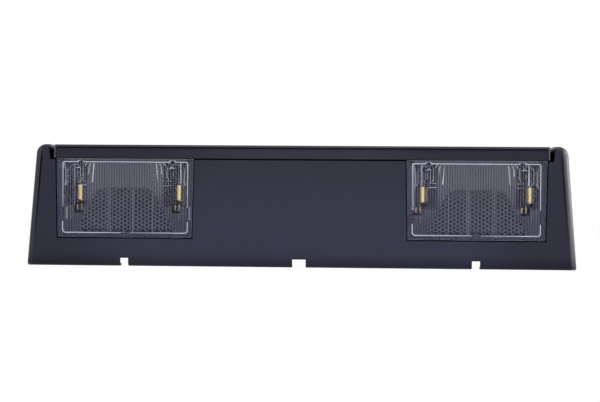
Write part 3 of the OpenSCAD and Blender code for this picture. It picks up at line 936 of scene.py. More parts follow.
@dataclass
class Shape:
    """Vertices, faces and a number for each vertex, gathered from several surfaces."""

    points: list[Array] = field(default_factory=list)
    faces: list[Array] = field(default_factory=list)
    edges: list[Array] = field(default_factory=list)
    count: int = 0

    def add(self, points: Array, faces: Sequence[Array], edge: Union[float, Array] = 0.0) -> None:
        """Adds a surface.

        Args:
            points: Its vertices, n by 3, in millimetres.
            faces: Arrays of vertex numbers, each m by 3, m by 4 or m by k.
            edge: The edge light at its vertices.
        """
        points = np.array(points, dtype=float).reshape(-1, 3)
        self.points.append(points)
        self.edges.append(np.broadcast_to(np.asarray(edge, dtype=float), (len(points),)).copy())
        for block in faces:
            if len(block):
                self.faces.append(np.asarray(block, dtype=np.int64) + self.count)
        self.count += len(points)

    def grid(self, points: Array, closed: bool = False, edge: Union[float, Array] = 0.0) -> None:
        """Adds a grid of quads over points[u, v], which join each u and each v to the next.

        Args:
            points: The grid, nu by nv by 3, in millimetres.
            closed: Whether the last v joins the first.
            edge: The edge light, a number or an array that fits nu by nv.
        """
        nu, nv = points.shape[:2]
        index = np.arange(nu * nv).reshape(nu, nv)
        a, b = index[:-1], index[1:]
        if closed:
            quads = np.stack([a, b, np.roll(b, -1, axis=1), np.roll(a, -1, axis=1)], axis=-1)
        else:
            quads = np.stack([a[:, :-1], b[:, :-1], b[:, 1:], a[:, 1:]], axis=-1)
        light = np.broadcast_to(np.asarray(edge, dtype=float), (nu, nv)).reshape(-1)
        self.add(points.reshape(-1, 3), [quads.reshape(-1, 4)], light)

    def cap(self, ring: Array, edge: float = 0.0) -> None:
        """Closes a ring of points with one flat face.

        Args:
            ring: The points in order, in millimetres.
            edge: The edge light.
        """
        self.add(ring, [np.arange(len(ring))[None, :]], edge)

    def tube(self, rings: Array, edge: Union[float, Array] = 0.0, ends: float = 0.0) -> None:
        """Adds a tube over closed rings, with a flat face at each end.

        Args:
            rings: Its rings, nu by nv by 3, in millimetres.
            edge: The edge light, a number or an array that fits nu by nv.
            ends: The edge light of the two end faces.
        """
        self.grid(rings, closed=True, edge=edge)
        self.cap(rings[0], ends)
        self.cap(rings[-1], ends)

    def build(self, name: str, smooth: float = 32.0) -> bpy.types.Object:
        """Makes the piece: merged, with its faces pointing outwards, smooth under an angle.

        Args:
            name: The piece's name.
            smooth: The angle in degrees under which neighbouring faces are smooth.

        Returns:
            The object, at the origin.
        """
        points = np.concatenate(self.points) * MM
        sizes = np.concatenate([np.full(len(f), f.shape[1]) for f in self.faces])
        loops = np.concatenate([f.reshape(-1) for f in self.faces])
        mesh = bpy.data.meshes.new(name)
        mesh.vertices.add(len(points))
        mesh.vertices.foreach_set("co", points.astype(np.float32).reshape(-1))
        mesh.loops.add(len(loops))
        mesh.loops.foreach_set("vertex_index", loops.astype(np.int32))
        starts = np.concatenate([[0], np.cumsum(sizes)[:-1]])
        mesh.polygons.add(len(sizes))
        mesh.polygons.foreach_set("loop_start", starts.astype(np.int32))
        light = mesh.attributes.new("edge", "FLOAT", "POINT")
        light.data.foreach_set("value", np.concatenate(self.edges).astype(np.float32))
        mesh.update(calc_edges=True)
        mesh.validate()
        return finish_mesh(mesh, name, smooth)


def finish_mesh(mesh: bpy.types.Mesh, name: str, smooth: float) -> bpy.types.Object:
    """Merges a mesh's doubles, turns its faces outwards and sets its smoothing.

    Args:
        mesh: The mesh.
        name: The object's name.
        smooth: The angle in degrees under which neighbouring faces are smooth.

    Returns:
        The object, linked to the scene.
    """
    bm = bmesh.new()
    bm.from_mesh(mesh)
    bmesh.ops.remove_doubles(bm, verts=bm.verts, dist=0.002 * MM)
    bmesh.ops.recalc_face_normals(bm, faces=bm.faces)
    limit = math.radians(smooth)
    for face in bm.faces:
        face.smooth = True
    for edge in bm.edges:
        edge.smooth = edge.is_manifold and edge.calc_face_angle(math.pi) < limit
    bm.to_mesh(mesh)
    bm.free()
    piece = bpy.data.objects.new(name, mesh)
    bpy.context.scene.collection.objects.link(piece)
    return piece


def normals_of(path: Array) -> Array:
    """Sideways vectors along a path in the X-Z plane.

    The vector at a point is the mean of the normals of its two stretches, divided by the cosine
    of half the bend, so that a wall keeps its thickness in its bends. A path that runs
    anticlockwise has them pointing inwards.

    Args:
        path: Points, n by 2.

    Returns:
        The vectors, n by 2.
    """
    ahead = np.diff(path, axis=0)
    ahead /= np.linalg.norm(ahead, axis=1, keepdims=True)
    back = np.concatenate([ahead[:1], ahead])
    ahead = np.concatenate([ahead, ahead[-1:]])
    mean = ahead + back
    mean /= np.linalg.norm(mean, axis=1, keepdims=True)
    cosine = np.clip((mean * ahead).sum(axis=1, keepdims=True), 0.35, 1.0)
    return np.stack([-mean[:, 1], mean[:, 0]], axis=1) / cosine


def swept(path: Array, profile: Array) -> Array:
    """A profile carried along a path in the X-Z plane.

    The point (i, j) is path i plus profile j's offset times the path's sideways vector, at
    profile j's depth Y.

    Args:
        path: Points in X and Z, n by 2.
        profile: Offset and depth Y, m by 2.

    Returns:
        The grid, n by m by 3.
    """
    side = normals_of(path)
    flat = path[:, None, :] + profile[None, :, :1] * side[:, None, :]
    depth = np.broadcast_to(profile[None, :, 1], flat.shape[:2])
    return np.stack([flat[..., 0], depth, flat[..., 1]], axis=-1)


def arc(centre: Sequence[float], radius: float, start: float, stop: float, steps: int = 7) -> Array:
    """Points on a circle's arc: centre plus radius times cosine and sine of the angle.

    Args:
        centre: Its centre.
        radius: Its radius.
        start: The first angle in degrees.
        stop: The last angle in degrees.
        steps: How many points.

    Returns:
        The points, steps by 2.
    """
    angle = np.radians(np.linspace(start, stop, steps))
    return radius * np.stack([np.cos(angle), np.sin(angle)], axis=1) + np.asarray(centre)


def rounded_wall(thickness: float, front: float, back: float, radius: float) -> Array:
    """A wall's cross-section: a rectangle of offset and depth with a rounded free end.

    Args:
        thickness: The wall's thickness.
        front: The depth Y of its root.
        back: The depth Y of its free end.
        radius: The radius of the free end's corners.

    Returns:
        The closed profile, m by 2.
    """
    return np.concatenate(
        [
            [[0.0, front], [thickness, front]],
            [[thickness, front + 0.5]],
            [[thickness, back - radius - 0.8]],
            arc((thickness - radius, back - radius), radius, 0, 90, 4),
            arc((radius, back - radius), radius, 90, 180, 4),
            [[0.0, back - radius - 0.8]],
            [[0.0, front + 0.5]],
        ]
    )


# The lenses


@dataclass
class Lens:
    """One clear lens: its pane with a flange, skirt, snap arms, bulb bays, flutes and honeycomb.

    All sizes are in millimetres, measured from the lens's middle along X and from the bar's
    lower edge along Z. The edge light "plain" marks see-through plastic in a fluted sheet.
    """

    side: int
    palette: Palette
    middle: float = LENS_MIDDLE
    width: float = 136.7
    foot: float = 28.0
    head: float = 106.2
    lean: float = math.tan(math.radians(1.3))
    y_pane: float = -23.7
    y_flange: float = -21.5
    skirt_half: float = 62.5
    skirt_z: tuple[float, float] = (32.3, 103.1)
    skirt_wall: float = 0.8
    shrink: float = 0.35
    # The painted light along the skirt's root.
    line: float = 0.72
    skirt_back: float = -6.6
    arm_z: tuple[float, float] = (44.65, 56.95)
    arm_back: float = 8.2
    snap_half: float = 3.4
    flute_pitch: float = 2.5
    cell_rise: float = 3.92
    cell_column: float = 3.57
    plain: float = -40.0

    @property
    def glints(self) -> tuple[float, float]:
        """Where the ribs stand that carry the painted glint above each of the two bulbs."""
        return (-50.7, 55.3) if self.side < 0 else (-53.2, 50.7)

    @property
    def sleeves(self) -> tuple[float, float]:
        """Where the two brass sleeves are seen, so that the flutes are plain in front of them."""
        return (-43.8, 53.4) if self.side < 0 else (-51.0, 52.7)

    @property
    def feet(self) -> tuple[float, float]:
        """Where the feet of the two contact springs are seen, left plain in the same way."""
        return (-46.1, 51.1) if self.side < 0 else (-56.5, 47.2)

    @property
    def seen_flutes(self) -> list[int]:
        """The flutes seen through the honeycomb's field. The one in the middle has number 100."""
        return [93, 94, 103, 111] if self.side < 0 else [89, 96, 97, 106, 107]

    @property
    def domes(self) -> tuple[float, float]:
        """Where the arches over the two bulbs stand."""
        return (-44.2, 47.0) if self.side < 0 else (-46.6, 44.7)

    @property
    def painted_edge_highlights(self) -> list[tuple[float, float, float, float, float]]:
        """Painted highlights by the skirt: left and right X, lower and upper Z, and edge light."""
        above = (-60.5, 60.5, 104.4, 105.5, 0.7)
        if self.side > 0:
            return [above, (-61.3, -60.3, 57.0, 101.0, 1.9)]
        arms = [(-58.7, -57.3, 46.0, 58.0, 2.0), (63.3, 64.7, 45.5, 58.5, 2.0)]
        walls = [(58.3, 59.0, 60.0, 83.0, 0.9), (-50.6, -50.0, 58.5, 83.0, 0.9)]
        return [above, *arms, *walls]

    @property
    def name(self) -> str:
        """The lens's node name."""
        return "left_lens" if self.side < 0 else "right_lens"

    def place(self, shape: Shape) -> None:
        """Moves a shape from the lens's middle to the bar's frame.

        Args:
            shape: The shape, whose points are moved.
        """
        for points in shape.points:
            points[:, 0] += self.side * self.middle

    def edge_x(self, z: Array) -> Array:
        """Half the pane's width: half the upper width less the lean times the drop from the head.

        Args:
            z: Heights.

        Returns:
            The half widths.
        """
        return self.width / 2 - (self.head - z) * self.lean

    def outline(self, inset: float, radius: float) -> Array:
        """The pane's outline, a trapezoid with rounded corners, anticlockwise from its lower left.

        Args:
            inset: How far inside the flange's edge it runs.
            radius: The corners' radius.

        Returns:
            The ring, n by 2.
        """
        z0, z1 = self.foot + inset, self.head - inset
        x0 = float(self.edge_x(np.array(z0))) - inset
        x1 = float(self.edge_x(np.array(z1))) - inset
        r = radius
        return np.concatenate(
            [
                arc((r - x0, z0 + r), r, 180, 270, 5),
                arc((x0 - r, z0 + r), r, 270, 360, 5),
                arc((x1 - r, z1 - r), r, 0, 90, 5),
                arc((r - x1, z1 - r), r, 90, 180, 5),
            ]
        )

    def pane(self) -> Shape:
        """The pane: rings that run from the back face over a rounded rim to the front face.

        The ring at angle a of the rim is inset by r - r cos a and lies at the rim's depth plus
        or minus r sin a, with r = 0.35 mm.

        Returns:
            The shape.
        """
        shape = Shape()
        r = 0.35
        rings = []
        for inset, y in (
            (6.3, self.y_flange),
            (r, self.y_flange),
            (r * 0.3, self.y_flange - r * 0.3),
            (0.0, self.y_flange - r),
            (0.0, self.y_pane + r),
            (r * 0.3, self.y_pane + r * 0.3),
            (r, self.y_pane),
        ):
            ring = self.outline(inset + self.shrink, 0.9)
            rings.append(np.stack([ring[:, 0], np.full(len(ring), y), ring[:, 1]], axis=1))
        grid = np.array(rings)
        # Painted light on the pane, strongest as a highlight on the front of its rounded rim.
        light = np.array([0.016, 0.016, 0.02, 0.02, 0.05, 0.4, 0.02])[:, None]
        shape.grid(grid, closed=True, edge=light)
        shape.cap(grid[-1], 0.004)
        return shape

    def flange(self) -> Shape:
        """The flange's back face, a flat ring from near the pane's edge to the skirt.

        The outer side of the ring takes its points along the head from the skirt's outline. Its
        tone is painted reflection, lighter along the head. Each painted highlight on an edge is a
        narrow upright or level strip a little in front of the ring.

        Returns:
            The shape.
        """
        shape = Shape()
        inner = self.skirt_ring(-0.05)
        inset, r = 0.7 + self.shrink, 0.9
        z0, z1 = self.foot + inset, self.head - inset
        x0 = float(self.edge_x(np.array(z0))) - inset
        x1 = float(self.edge_x(np.array(z1))) - inset
        outer = np.concatenate(
            [
                arc((r - x0, z0 + r), r, 180, 270, 7),
                arc((x0 - r, z0 + r), r, 270, 360, 7),
                arc((x1 - r, z1 - r), r, 0, 90, 5),
                np.stack([inner[19:-5, 0], np.full(len(inner) - 24, z1)], axis=1),
                arc((r - x1, z1 - r), r, 90, 180, 5),
            ]
        )
        flat = np.stack([outer, inner])
        depth = np.full(flat.shape[:2], self.y_flange - 0.05)
        grid = np.stack([flat[..., 0], depth, flat[..., 1]], axis=-1)
        # Painted reflection on the flange, lighter along its head.
        shape.grid(grid, closed=True, edge=np.where(flat[..., 1] > 101.0, -0.50, -0.72))
        # Painted highlights: flat strips a little in front of the flange.
        for left, right, low, high, light in self.painted_edge_highlights:
            x, z = np.meshgrid([left, right], [low, high], indexing="ij")
            y = np.full(x.shape, self.y_flange - 0.1)
            shape.grid(np.stack([x, y, z], axis=-1), edge=light)
        return shape

    def skirt_ring(self, inset: float) -> Array:
        """The skirt's outline: a rectangle with small upper, larger lower corners and two arches.

        Args:
            inset: How far inside the outer face it runs.

        Returns:
            The ring, anticlockwise, n by 2.
        """
        x, (z0, z1) = self.skirt_half - inset, self.skirt_z
        z0, z1 = z0 + inset, z1 - inset
        r, top, rise, half = 3.5, 1.6, 1.7, 3.9
        bow = (half * half + rise * rise) / (2 * rise)
        span = math.degrees(math.asin(half / bow))
        arches = [
            arc((x0, z1 + rise - bow), bow, 90 - span, 90 + span, 9) for x0 in self.domes[::-1]
        ]
        return np.concatenate(
            [
                arc((r - x, z0 + r), r, 180, 270, 7),
                arc((x - r, z0 + r), r, 270, 360, 7),
                arc((x - top, z1 - top), top, 0, 90, 5),
                *arches,
                arc((top - x, z1 - top), top, 90, 180, 5),
            ]
        )

    def skirt(self) -> Shape:
        """The skirt in three stretches, between the two arms and the snap's slots.

        Returns:
            The shape, with painted light at its root and its free end.
        """
        shape = Shape()
        ring = self.skirt_ring(0.0)
        x, z0 = self.skirt_half, self.skirt_z[0]
        low, high = self.arm_z[0] - 0.8, self.arm_z[1] + 0.8
        gap = self.snap_half + 0.8
        upper = ring[(ring[:, 1] > high)]
        start = int(np.argmax(upper[:, 0] * 10 - upper[:, 1]))
        upper = np.roll(upper, -start, axis=0)
        upper = np.concatenate([[[x, high]], upper, [[-x, high]]])
        right = ring[(ring[:, 1] < low) & (ring[:, 0] > 0)]
        left = ring[(ring[:, 1] < low) & (ring[:, 0] < 0)]
        right = np.concatenate([[[gap, z0]], right, [[x, low]]])
        left = np.concatenate([[[-x, low]], left, [[-gap, z0]]])
        profile = rounded_wall(self.skirt_wall, self.y_flange + 0.05, self.skirt_back, 0.3)
        root, end = np.zeros(len(profile)), np.zeros(len(profile))
        # Painted light at the skirt's root and at its free end.
        root[:2] = self.line
        root[2], root[-1] = 0.08, 0.08
        end[4:12] = 1.0
        for path in (upper, right, left):
            grid = swept(path, profile)
            inner = np.interp(-self.side * path[:, 0], [40.0, 61.0], [0.10, 0.62])
            light = 0.02 + root[None, :] + end[None, :] * inner[:, None]
            shape.tube(grid, edge=light, ends=0.3)
        return shape

    def snaps(self) -> Shape:
        """The two spring arms with their barbs and the snap in the lower wall.

        Each is a closed profile carried straight along its width.

        Returns:
            The shape.
        """
        shape = Shape()
        x, wall, root = self.skirt_half, self.skirt_wall, self.y_flange + 0.05
        barb, tip = 5.3, self.arm_back
        bright, dim = (-7.6, -6.4), (-8.4, -5.6)
        arm = np.array(
            [[x - wall, root], [x, root], [x, dim[0]], [x, bright[0]], [x, bright[1]], [x, dim[1]]]
            + [[x, barb], [x + 1.1, barb + 0.1], [x + 1.1, barb + 0.5], [x + 0.1, tip - 0.1]]
            + [[x - 0.2, tip], [x - wall + 0.2, tip], [x - wall, tip - 0.2], [x - wall, dim[1]]]
            + [[x - wall, bright[1]], [x - wall, bright[0]], [x - wall, dim[0]]]
        )
        # Painted highlights in two bands along each arm, brighter on the left lens.
        glow = 0.5 if self.side < 0 else 0.22
        light = np.full(len(arm), 0.02)
        light[[3, 4, 14, 15]] = glow
        for s in (-1, 1):
            ends = [
                np.stack([s * arm[:, 0], arm[:, 1], np.full(len(arm), z)], axis=1)
                for z in self.arm_z
            ]
            grid = np.array(ends)
            shape.tube(grid, edge=light, ends=0.05)
        z0, back = self.skirt_z[0], -18.1
        snap = np.array(
            [[root, z0 + 1.5], [back + 3, z0 + 1.5], [back + 3, z0 + 0.2], [back + 0.5, z0 - 1.8]]
            + [[back + 0.35, z0 - 1.8], [back + 0.35, z0], [root, z0]]
        )
        grid = np.array(
            [
                np.stack([np.full(len(snap), s), snap[:, 0], snap[:, 1]], axis=1)
                for s in (-self.snap_half, self.snap_half)
            ]
        )
        # Faint painted light on the snap.
        shape.tube(grid, edge=0.12, ends=0.12)
        return shape

    def bays(self) -> Shape:
        """The thin walls of the two bulb bays, each a rounded wall carried along its own path.

        Each wall has a thickness, the depth of its free end, the painted light at its root and its
        path.

        Returns:
            The shape.
        """
        shape = Shape()
        walls = (
            (0.9, -19.0, 0.62, [[31.1, 101.2], [32.7, 82.5]]),
            (0.7, -19.2, 0.45, [[34.2, 101.3], [36.0, 98.6], [36.4, 90.5]]),
            (0.7, -19.2, 0.42, [[37.4, 102.6], [39.6, 99.7], [39.9, 98.5]]),
            (0.6, -18.5, 0.35, [[60.8, 102.0], [59.2, 94.5], [58.9, 83.5], [60.3, 80.3]]),
            (0.6, -18.5, 0.30, [[39.0, 83.6], [46.2, 83.6]]),
            (0.7, -18.5, 0.38, [[38.6, 79.6], [46.4, 79.6]]),
            (0.5, -19.0, 0.22, [[37.0, 96.4], [37.2, 79.6]]),
            (0.6, -18.5, 0.34, [[41.8, 98.8], [41.6, 88.0], [43.4, 84.6]]),
            (0.9, -18.0, 0.42, [[43.8, 96.3], [46.4, 97.2], [49.2, 96.4]]),
            (0.7, -18.5, 0.30, [[55.0, 94.8], [59.6, 94.8]]),
            (0.5, -19.0, 0.22, [[56.4, 93.6], [56.2, 82.6]]),
            (0.5, -19.0, 0.18, [[57.8, 93.6], [57.6, 82.6]]),
            (0.9, -18.0, 0.45, [[57.7, 83.0], [60.1, 79.2]]),
            (0.6, -18.5, 0.26, [[48.2, 93.6], [47.3, 90.4], [48.6, 87.6]]),
            (0.5, -19.6, 0.20, [[53.8, 59.0], [53.8, 46.0]]),
            (0.5, -19.6, 0.16, [[57.6, 59.0], [57.6, 46.0]]),
        )
        for s, glint, dome in zip((-1, 1), self.glints, self.domes):
            ribs = [(t, b, g, np.array(p) * [s, 1]) for t, b, g, p in walls]
            cup = np.concatenate(
                [arc((s * 50.0, 94.6), 5.6, 168, 12, 11), arc((s * 50.0, 85.8), 5.2, -8, -60, 4)]
            )
            ribs.append((0.6, -19.4, 0.26, cup))
            ribs.append((0.8, -19.4, 0.34, arc((dome, 101.4), 3.0, 190, -10, 9)))
            ribs.append((0.9, -19.6, 0.50, np.array([[s * 61.8, 102.6], [s * 61.9, 105.4]])))
            # Painted glint: a bright rib above each bulb, faint above the left lens's left bulb.
            shine = 0.28 if self.side < 0 and s < 0 else 0.88
            ribs.append((1.0, -20.5, shine, np.array([[glint, 101.6], [glint, 81.6]])))
            for thickness, back, glow, points in ribs:
                self.rib(shape, points, thickness, back, glow)
        return shape

    def rib(self, shape: Shape, points: Array, thickness: float, back: float, glow: float) -> None:
        """Adds one thin wall.

        Args:
            shape: The shape it is added to.
            points: Its path in X and Z.
            thickness: Its thickness.
            back: The depth Y of its free end.
            glow: The painted light at its root.
        """
        path = self.softened(points) if 2 < len(points) < 8 else points
        profile = rounded_wall(thickness, self.y_flange + 0.05, back, 0.15)
        profile[:, 0] -= thickness / 2
        # Painted light: full at the root, less at the free end and faint on the flanks.
        light = np.full(len(profile), glow * 0.08)
        light[:2] = glow
        light[4:12] = glow * 0.3
        grid = swept(path, profile)
        shape.tube(grid, edge=light, ends=glow * 0.4)

    @staticmethod
    def softened(path: Array) -> Array:
        """A path whose bends become chamfers that start 0.5 mm away, so that a wall turns gently.

        Args:
            path: Points, n by 2.

        Returns:
            The path with two points for each bend.
        """
        ahead = np.diff(path, axis=0)
        length = np.linalg.norm(ahead, axis=1, keepdims=True)
        step = ahead / length * np.minimum(0.5, length / 3)
        before, after = path[1:-1] - step[:-1], path[1:-1] + step[1:]
        middle = np.stack([before, after], axis=1).reshape(-1, 2)
        return np.concatenate([path[:1], middle, path[-1:]])

    def field_half(self, z: Array) -> Array:
        """Half the honeycomb's width at a height, from the shoulders of its bell.

        Args:
            z: Heights.

        Returns:
            The half widths, negative above the crown.
        """
        heights = [35.0, 44.0, 50.8, 58.7, 71.5, 76.5, 79.3, 79.31]
        return np.interp(z, heights, [49, 47.5, 42.5, 38.0, 33.0, 29.5, 21, -5])

    def flutes(self) -> Shape:
        """The flutes: a sheet whose depth is a row of shallow rounded ridges along X.

        The depth at x is the flange's plus 0.32 mm times the absolute sine of pi x over the
        pitch. Each flute has painted light at one flank and painted shade at the other, and its
        light is its own. The sheet is plain behind the honeycomb, where a few flutes run on as
        single lines of painted light, and in front of the sleeves and the feet of the contact
        springs.

        Returns:
            The shape.
        """
        shape = Shape()
        half = self.skirt_half - self.skirt_wall - 0.3
        per, rows, many = 8, 48, 200
        count = int(2 * half / self.flute_pitch) * per + 1
        x = np.linspace(-half, half, count)
        phase = x / self.flute_pitch
        ridge = np.abs(np.sin(math.pi * phase))
        own = np.random.default_rng(11 + self.side).uniform(0.85, 1.15, many)
        through = np.zeros(many)
        through[self.seen_flutes] = 1.0
        flute = np.floor(phase + many / 2).astype(int)
        # Painted light on one flank of each flute and painted shade on the other, each flute a
        # little brighter or darker at random.
        flank = np.sin(2 * math.pi * phase + 0.6) * own[flute]
        z = np.linspace(self.skirt_z[0] + self.skirt_wall, self.skirt_z[1] - self.skirt_wall, rows)
        z = np.broadcast_to(z[None, :], (count, rows))
        y = np.broadcast_to((self.y_flange + 0.03 + 0.32 * ridge)[:, None], z.shape)
        grid = np.stack([np.broadcast_to(x[:, None], z.shape), y, z], axis=-1)
        # Painted light: a few flutes run on through the honeycomb as single light lines.
        seen = np.where((through[flute] > 0) & (flank > 0.55), flank * 2.2, self.plain)
        inside = np.abs(x)[:, None] < self.field_half(z + 3.0) - 2.0
        light = np.where(inside, seen[:, None], flank[:, None])
        for sleeve, foot in zip(self.sleeves, self.feet):
            upper = (np.abs(x - sleeve)[:, None] < 2.1) & (z > 62.0) & (z < 82.0)
            lower = (np.abs(x - foot)[:, None] < 4.2) & (z > 53.5) & (z <= 61.0)
            light = np.where(upper | lower, self.plain, light)
        shape.grid(grid, edge=light)
        return shape

    def honeycomb(self) -> Shape:
        """The honeycomb's cells: domes on a hexagonal grid, dark in the middle, light at the rim.

        A point of a dome at share t of the way out lies at t times the hexagon's reach in its
        direction, and its height is 0.75 mm times the square root of 1 - t squared. The dark and
        the light are painted shade and painted light, and the cells fade towards the crown.

        Returns:
            The shape.
        """
        shape = Shape()
        rng = np.random.default_rng(5 + self.side)
        reach = self.cell_rise / 2 * 0.97
        i, j = np.meshgrid(np.arange(-15, 16), np.arange(0, 13), indexing="ij")
        x = i * self.cell_column
        z = 34.4 + (j + np.where(i % 2 == 0, 0.5, 1.0)) * self.cell_rise
        keep = np.abs(x) + reach * 0.6 < self.field_half(z + 1.0)
        x, z = x[keep], z[keep]
        turn = np.radians(np.arange(12) * 30.0)
        hexagon = reach / np.cos(np.mod(turn + math.pi / 6, math.pi / 3) - math.pi / 6)
        share = np.array([0.60, 0.74, 1.0])
        height = 0.75 * np.sqrt(1 - share**2 * 0.98)
        squeeze = self.cell_column / self.cell_rise / 0.866
        away = np.stack([np.sin(turn) * squeeze, np.cos(turn)], axis=-1)
        flat = share[:, None, None] * hexagon[None, :, None] * away
        depth = np.broadcast_to((self.y_flange + 0.42 + height)[:, None], flat.shape[:2])
        cell = np.stack([flat[..., 0], depth, flat[..., 1]], axis=-1).reshape(-1, 3)
        cell = np.concatenate([cell, [[0.0, self.y_flange + 1.17, 0.0]]])
        ring = np.arange(12)
        nxt = (ring + 1) % 12
        fan = np.stack([np.full(12, 36), ring, nxt], axis=1)
        quads = np.concatenate(
            [
                np.stack([k + ring, k + 12 + ring, k + 12 + nxt, k + nxt], axis=1)
                for k in (0, 12)
            ]
        )
        centres = np.stack([x, np.zeros(len(x)), z], axis=1)
        points = (centres[:, None, :] + cell[None, :, :]).reshape(-1, 3)
        base = (np.arange(len(x)) * 37)[:, None, None]
        # Painted shade in each cell's middle and painted light at its rim, fading towards the
        # crown.
        shine = np.concatenate([np.repeat([-1.0, 0.0, 1.0], 12), [-1.0]])
        crown = np.interp(z, [64.0, 79.0], [1.0, 0.4])[:, None]
        light = shine[None, :] * rng.uniform(0.88, 1.0, (len(x), 1)) * crown
        faces = [(fan + base).reshape(-1, 3), (quads + base).reshape(-1, 4)]
        shape.add(points, faces, light.reshape(-1))
        return shape

    def build(self) -> list[bpy.types.Object]:
        """Builds the lens's pieces and lets them stand for the CAD lens.

        Returns:
            The pieces.
        """
        pieces = []
        for label, make, finish in (
            ("pane", self.pane, Finish.CLEAR),
            ("flange", self.flange, Finish.FLANGE),
            ("skirt", self.skirt, Finish.RELIEF),
            ("snaps", self.snaps, Finish.RELIEF),
            ("bays", self.bays, Finish.RELIEF),
            ("flutes", self.flutes, Finish.FLUTES),
            ("honeycomb", self.honeycomb, Finish.CELLS),
        ):
            shape = make()
            self.place(shape)
            piece = shape.build(f"{self.name}_{label}")
            self.palette.paint(piece, finish)
            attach(piece, ROOT)
            pieces.append(piece)
            LOG.info("%s: %d faces", piece.name, len(piece.data.polygons))
        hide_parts(self.name)
        return pieces


# The black mouldings


@dataclass
class Moulding:
    """A finished copy of a moulded solid, with its sharp edges broken by a small radius."""

    node: str
    finish: Finish
    palette: Palette
    radius: float = 0.3
    drawn_in: float = 0.0
    drawn_from: float = 240.9

    def draw_in(self, mesh: bpy.types.Mesh) -> None:
        """Draws the ends of the front lip in: past a given x, x grows by a share less than before.

        Args:
            mesh: The copy's mesh.
        """
        points = np.empty(len(mesh.vertices) * 3, dtype=np.float32)
        mesh.vertices.foreach_get("co", points)
        x, y, z = points.reshape(-1, 3).T
        out, start = np.abs(x), self.drawn_from * MM
        lip = (out > start) & (out < 244.1 * MM) & (z > 105 * MM) & (y < -17.9 * MM)
        near = start + (out - start) * (1.0 - self.drawn_in)
        x[:] = np.where(lip, np.sign(x) * near, x)
        mesh.vertices.foreach_set("co", points)

    def build(self) -> bpy.types.Object:
        """Builds the copy and lets it stand for its CAD node.

        Returns:
            The piece.
        """
        mesh = frame["nodes"][self.node].data.copy()
        bm = bmesh.new()
        bm.from_mesh(mesh)
        bmesh.ops.remove_doubles(bm, verts=bm.verts, dist=0.003 * MM)
        bmesh.ops.dissolve_limit(
            bm, angle_limit=math.radians(0.6), verts=bm.verts, edges=bm.edges, delimit={"NORMAL"}
        )
        bm.to_mesh(mesh)
        bm.free()
        self.draw_in(mesh)
        piece = finish_mesh(mesh, f"{self.node}_moulded", 34.0)
        bevel = piece.modifiers.new("broken_edges", "BEVEL")
        bevel.width = self.radius * MM
        bevel.segments = 2
        bevel.limit_method = "ANGLE"
        bevel.angle_limit = math.radians(38)
        bevel.use_clamp_overlap = True
        bevel.harden_normals = False
        self.palette.paint(piece, self.finish)
        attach(piece, ROOT)
        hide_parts(self.node)
        LOG.info("%s: %d faces", piece.name, len(piece.data.polygons))
        return piece


@dataclass
class HousingLip:
    """The rolled upper edge of the housing's front lip, between the cover's two ears.

    Sizes in millimetres.
    """

    palette: Palette
    half: float = 243.9
    front: float = -18.78
    foot: float = 106.7
    crease: tuple[float, float] = (116.7, 117.2)
    roll: float = 1.55
    top: float = 119.9

    def profile(self) -> Array:
        """The lip's cross-section in Y and Z: a flat, a crease, a roll and a flat back to the roof.

        Returns:
            The closed profile, m by 2.
        """
        y, r, (c0, c1) = self.front, self.roll, self.crease
        return np.concatenate(
            [
                [[y, self.foot], [y, self.foot + 2.0], [y, c0 - 0.3], [y + 0.1, c0]],
                [[y + 0.26, (c0 + c1) / 2], [y + 0.05, c1]],
                arc((y + r, c1 + 0.5), r, 180, 118, 5),
                arc((y + r + 0.4, self.top - r), r, 112, 90, 4),
                [[-15.0, self.top], [-12.0, self.top - 0.5], [-10.0, 118.4], [y + 0.4, 118.4]],
                [[y + 0.4, self.foot]],
            ]
        )

    def build(self) -> bpy.types.Object:
        """Builds the lip: the profile carried straight along X, with its ends drawn in a little.

        Returns:
            The piece.
        """
        shape = Shape()
        line = self.profile()
        middle = line.mean(axis=0)
        rings = []
        for x, draw in (
            (-self.half, 0.93),
            (-self.half + 0.5, 0.99),
            (-self.half + 1.1, 1.0),
            (0.0, 1.0),
            (self.half - 1.1, 1.0),
            (self.half - 0.5, 0.99),
            (self.half, 0.93),
        ):
            ring = middle + (line - middle) * [1.0, draw]
            rings.append(np.stack([np.full(len(ring), x), ring[:, 0], ring[:, 1]], axis=1))
        grid = np.array(rings)
        shape.tube(grid)
        piece = shape.build("rear_housing_lip", 40.0)
        self.palette.paint(piece, Finish.HOUSING)
        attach(piece, ROOT)
        LOG.info("%s: %d faces", piece.name, len(piece.data.polygons))
        return piece


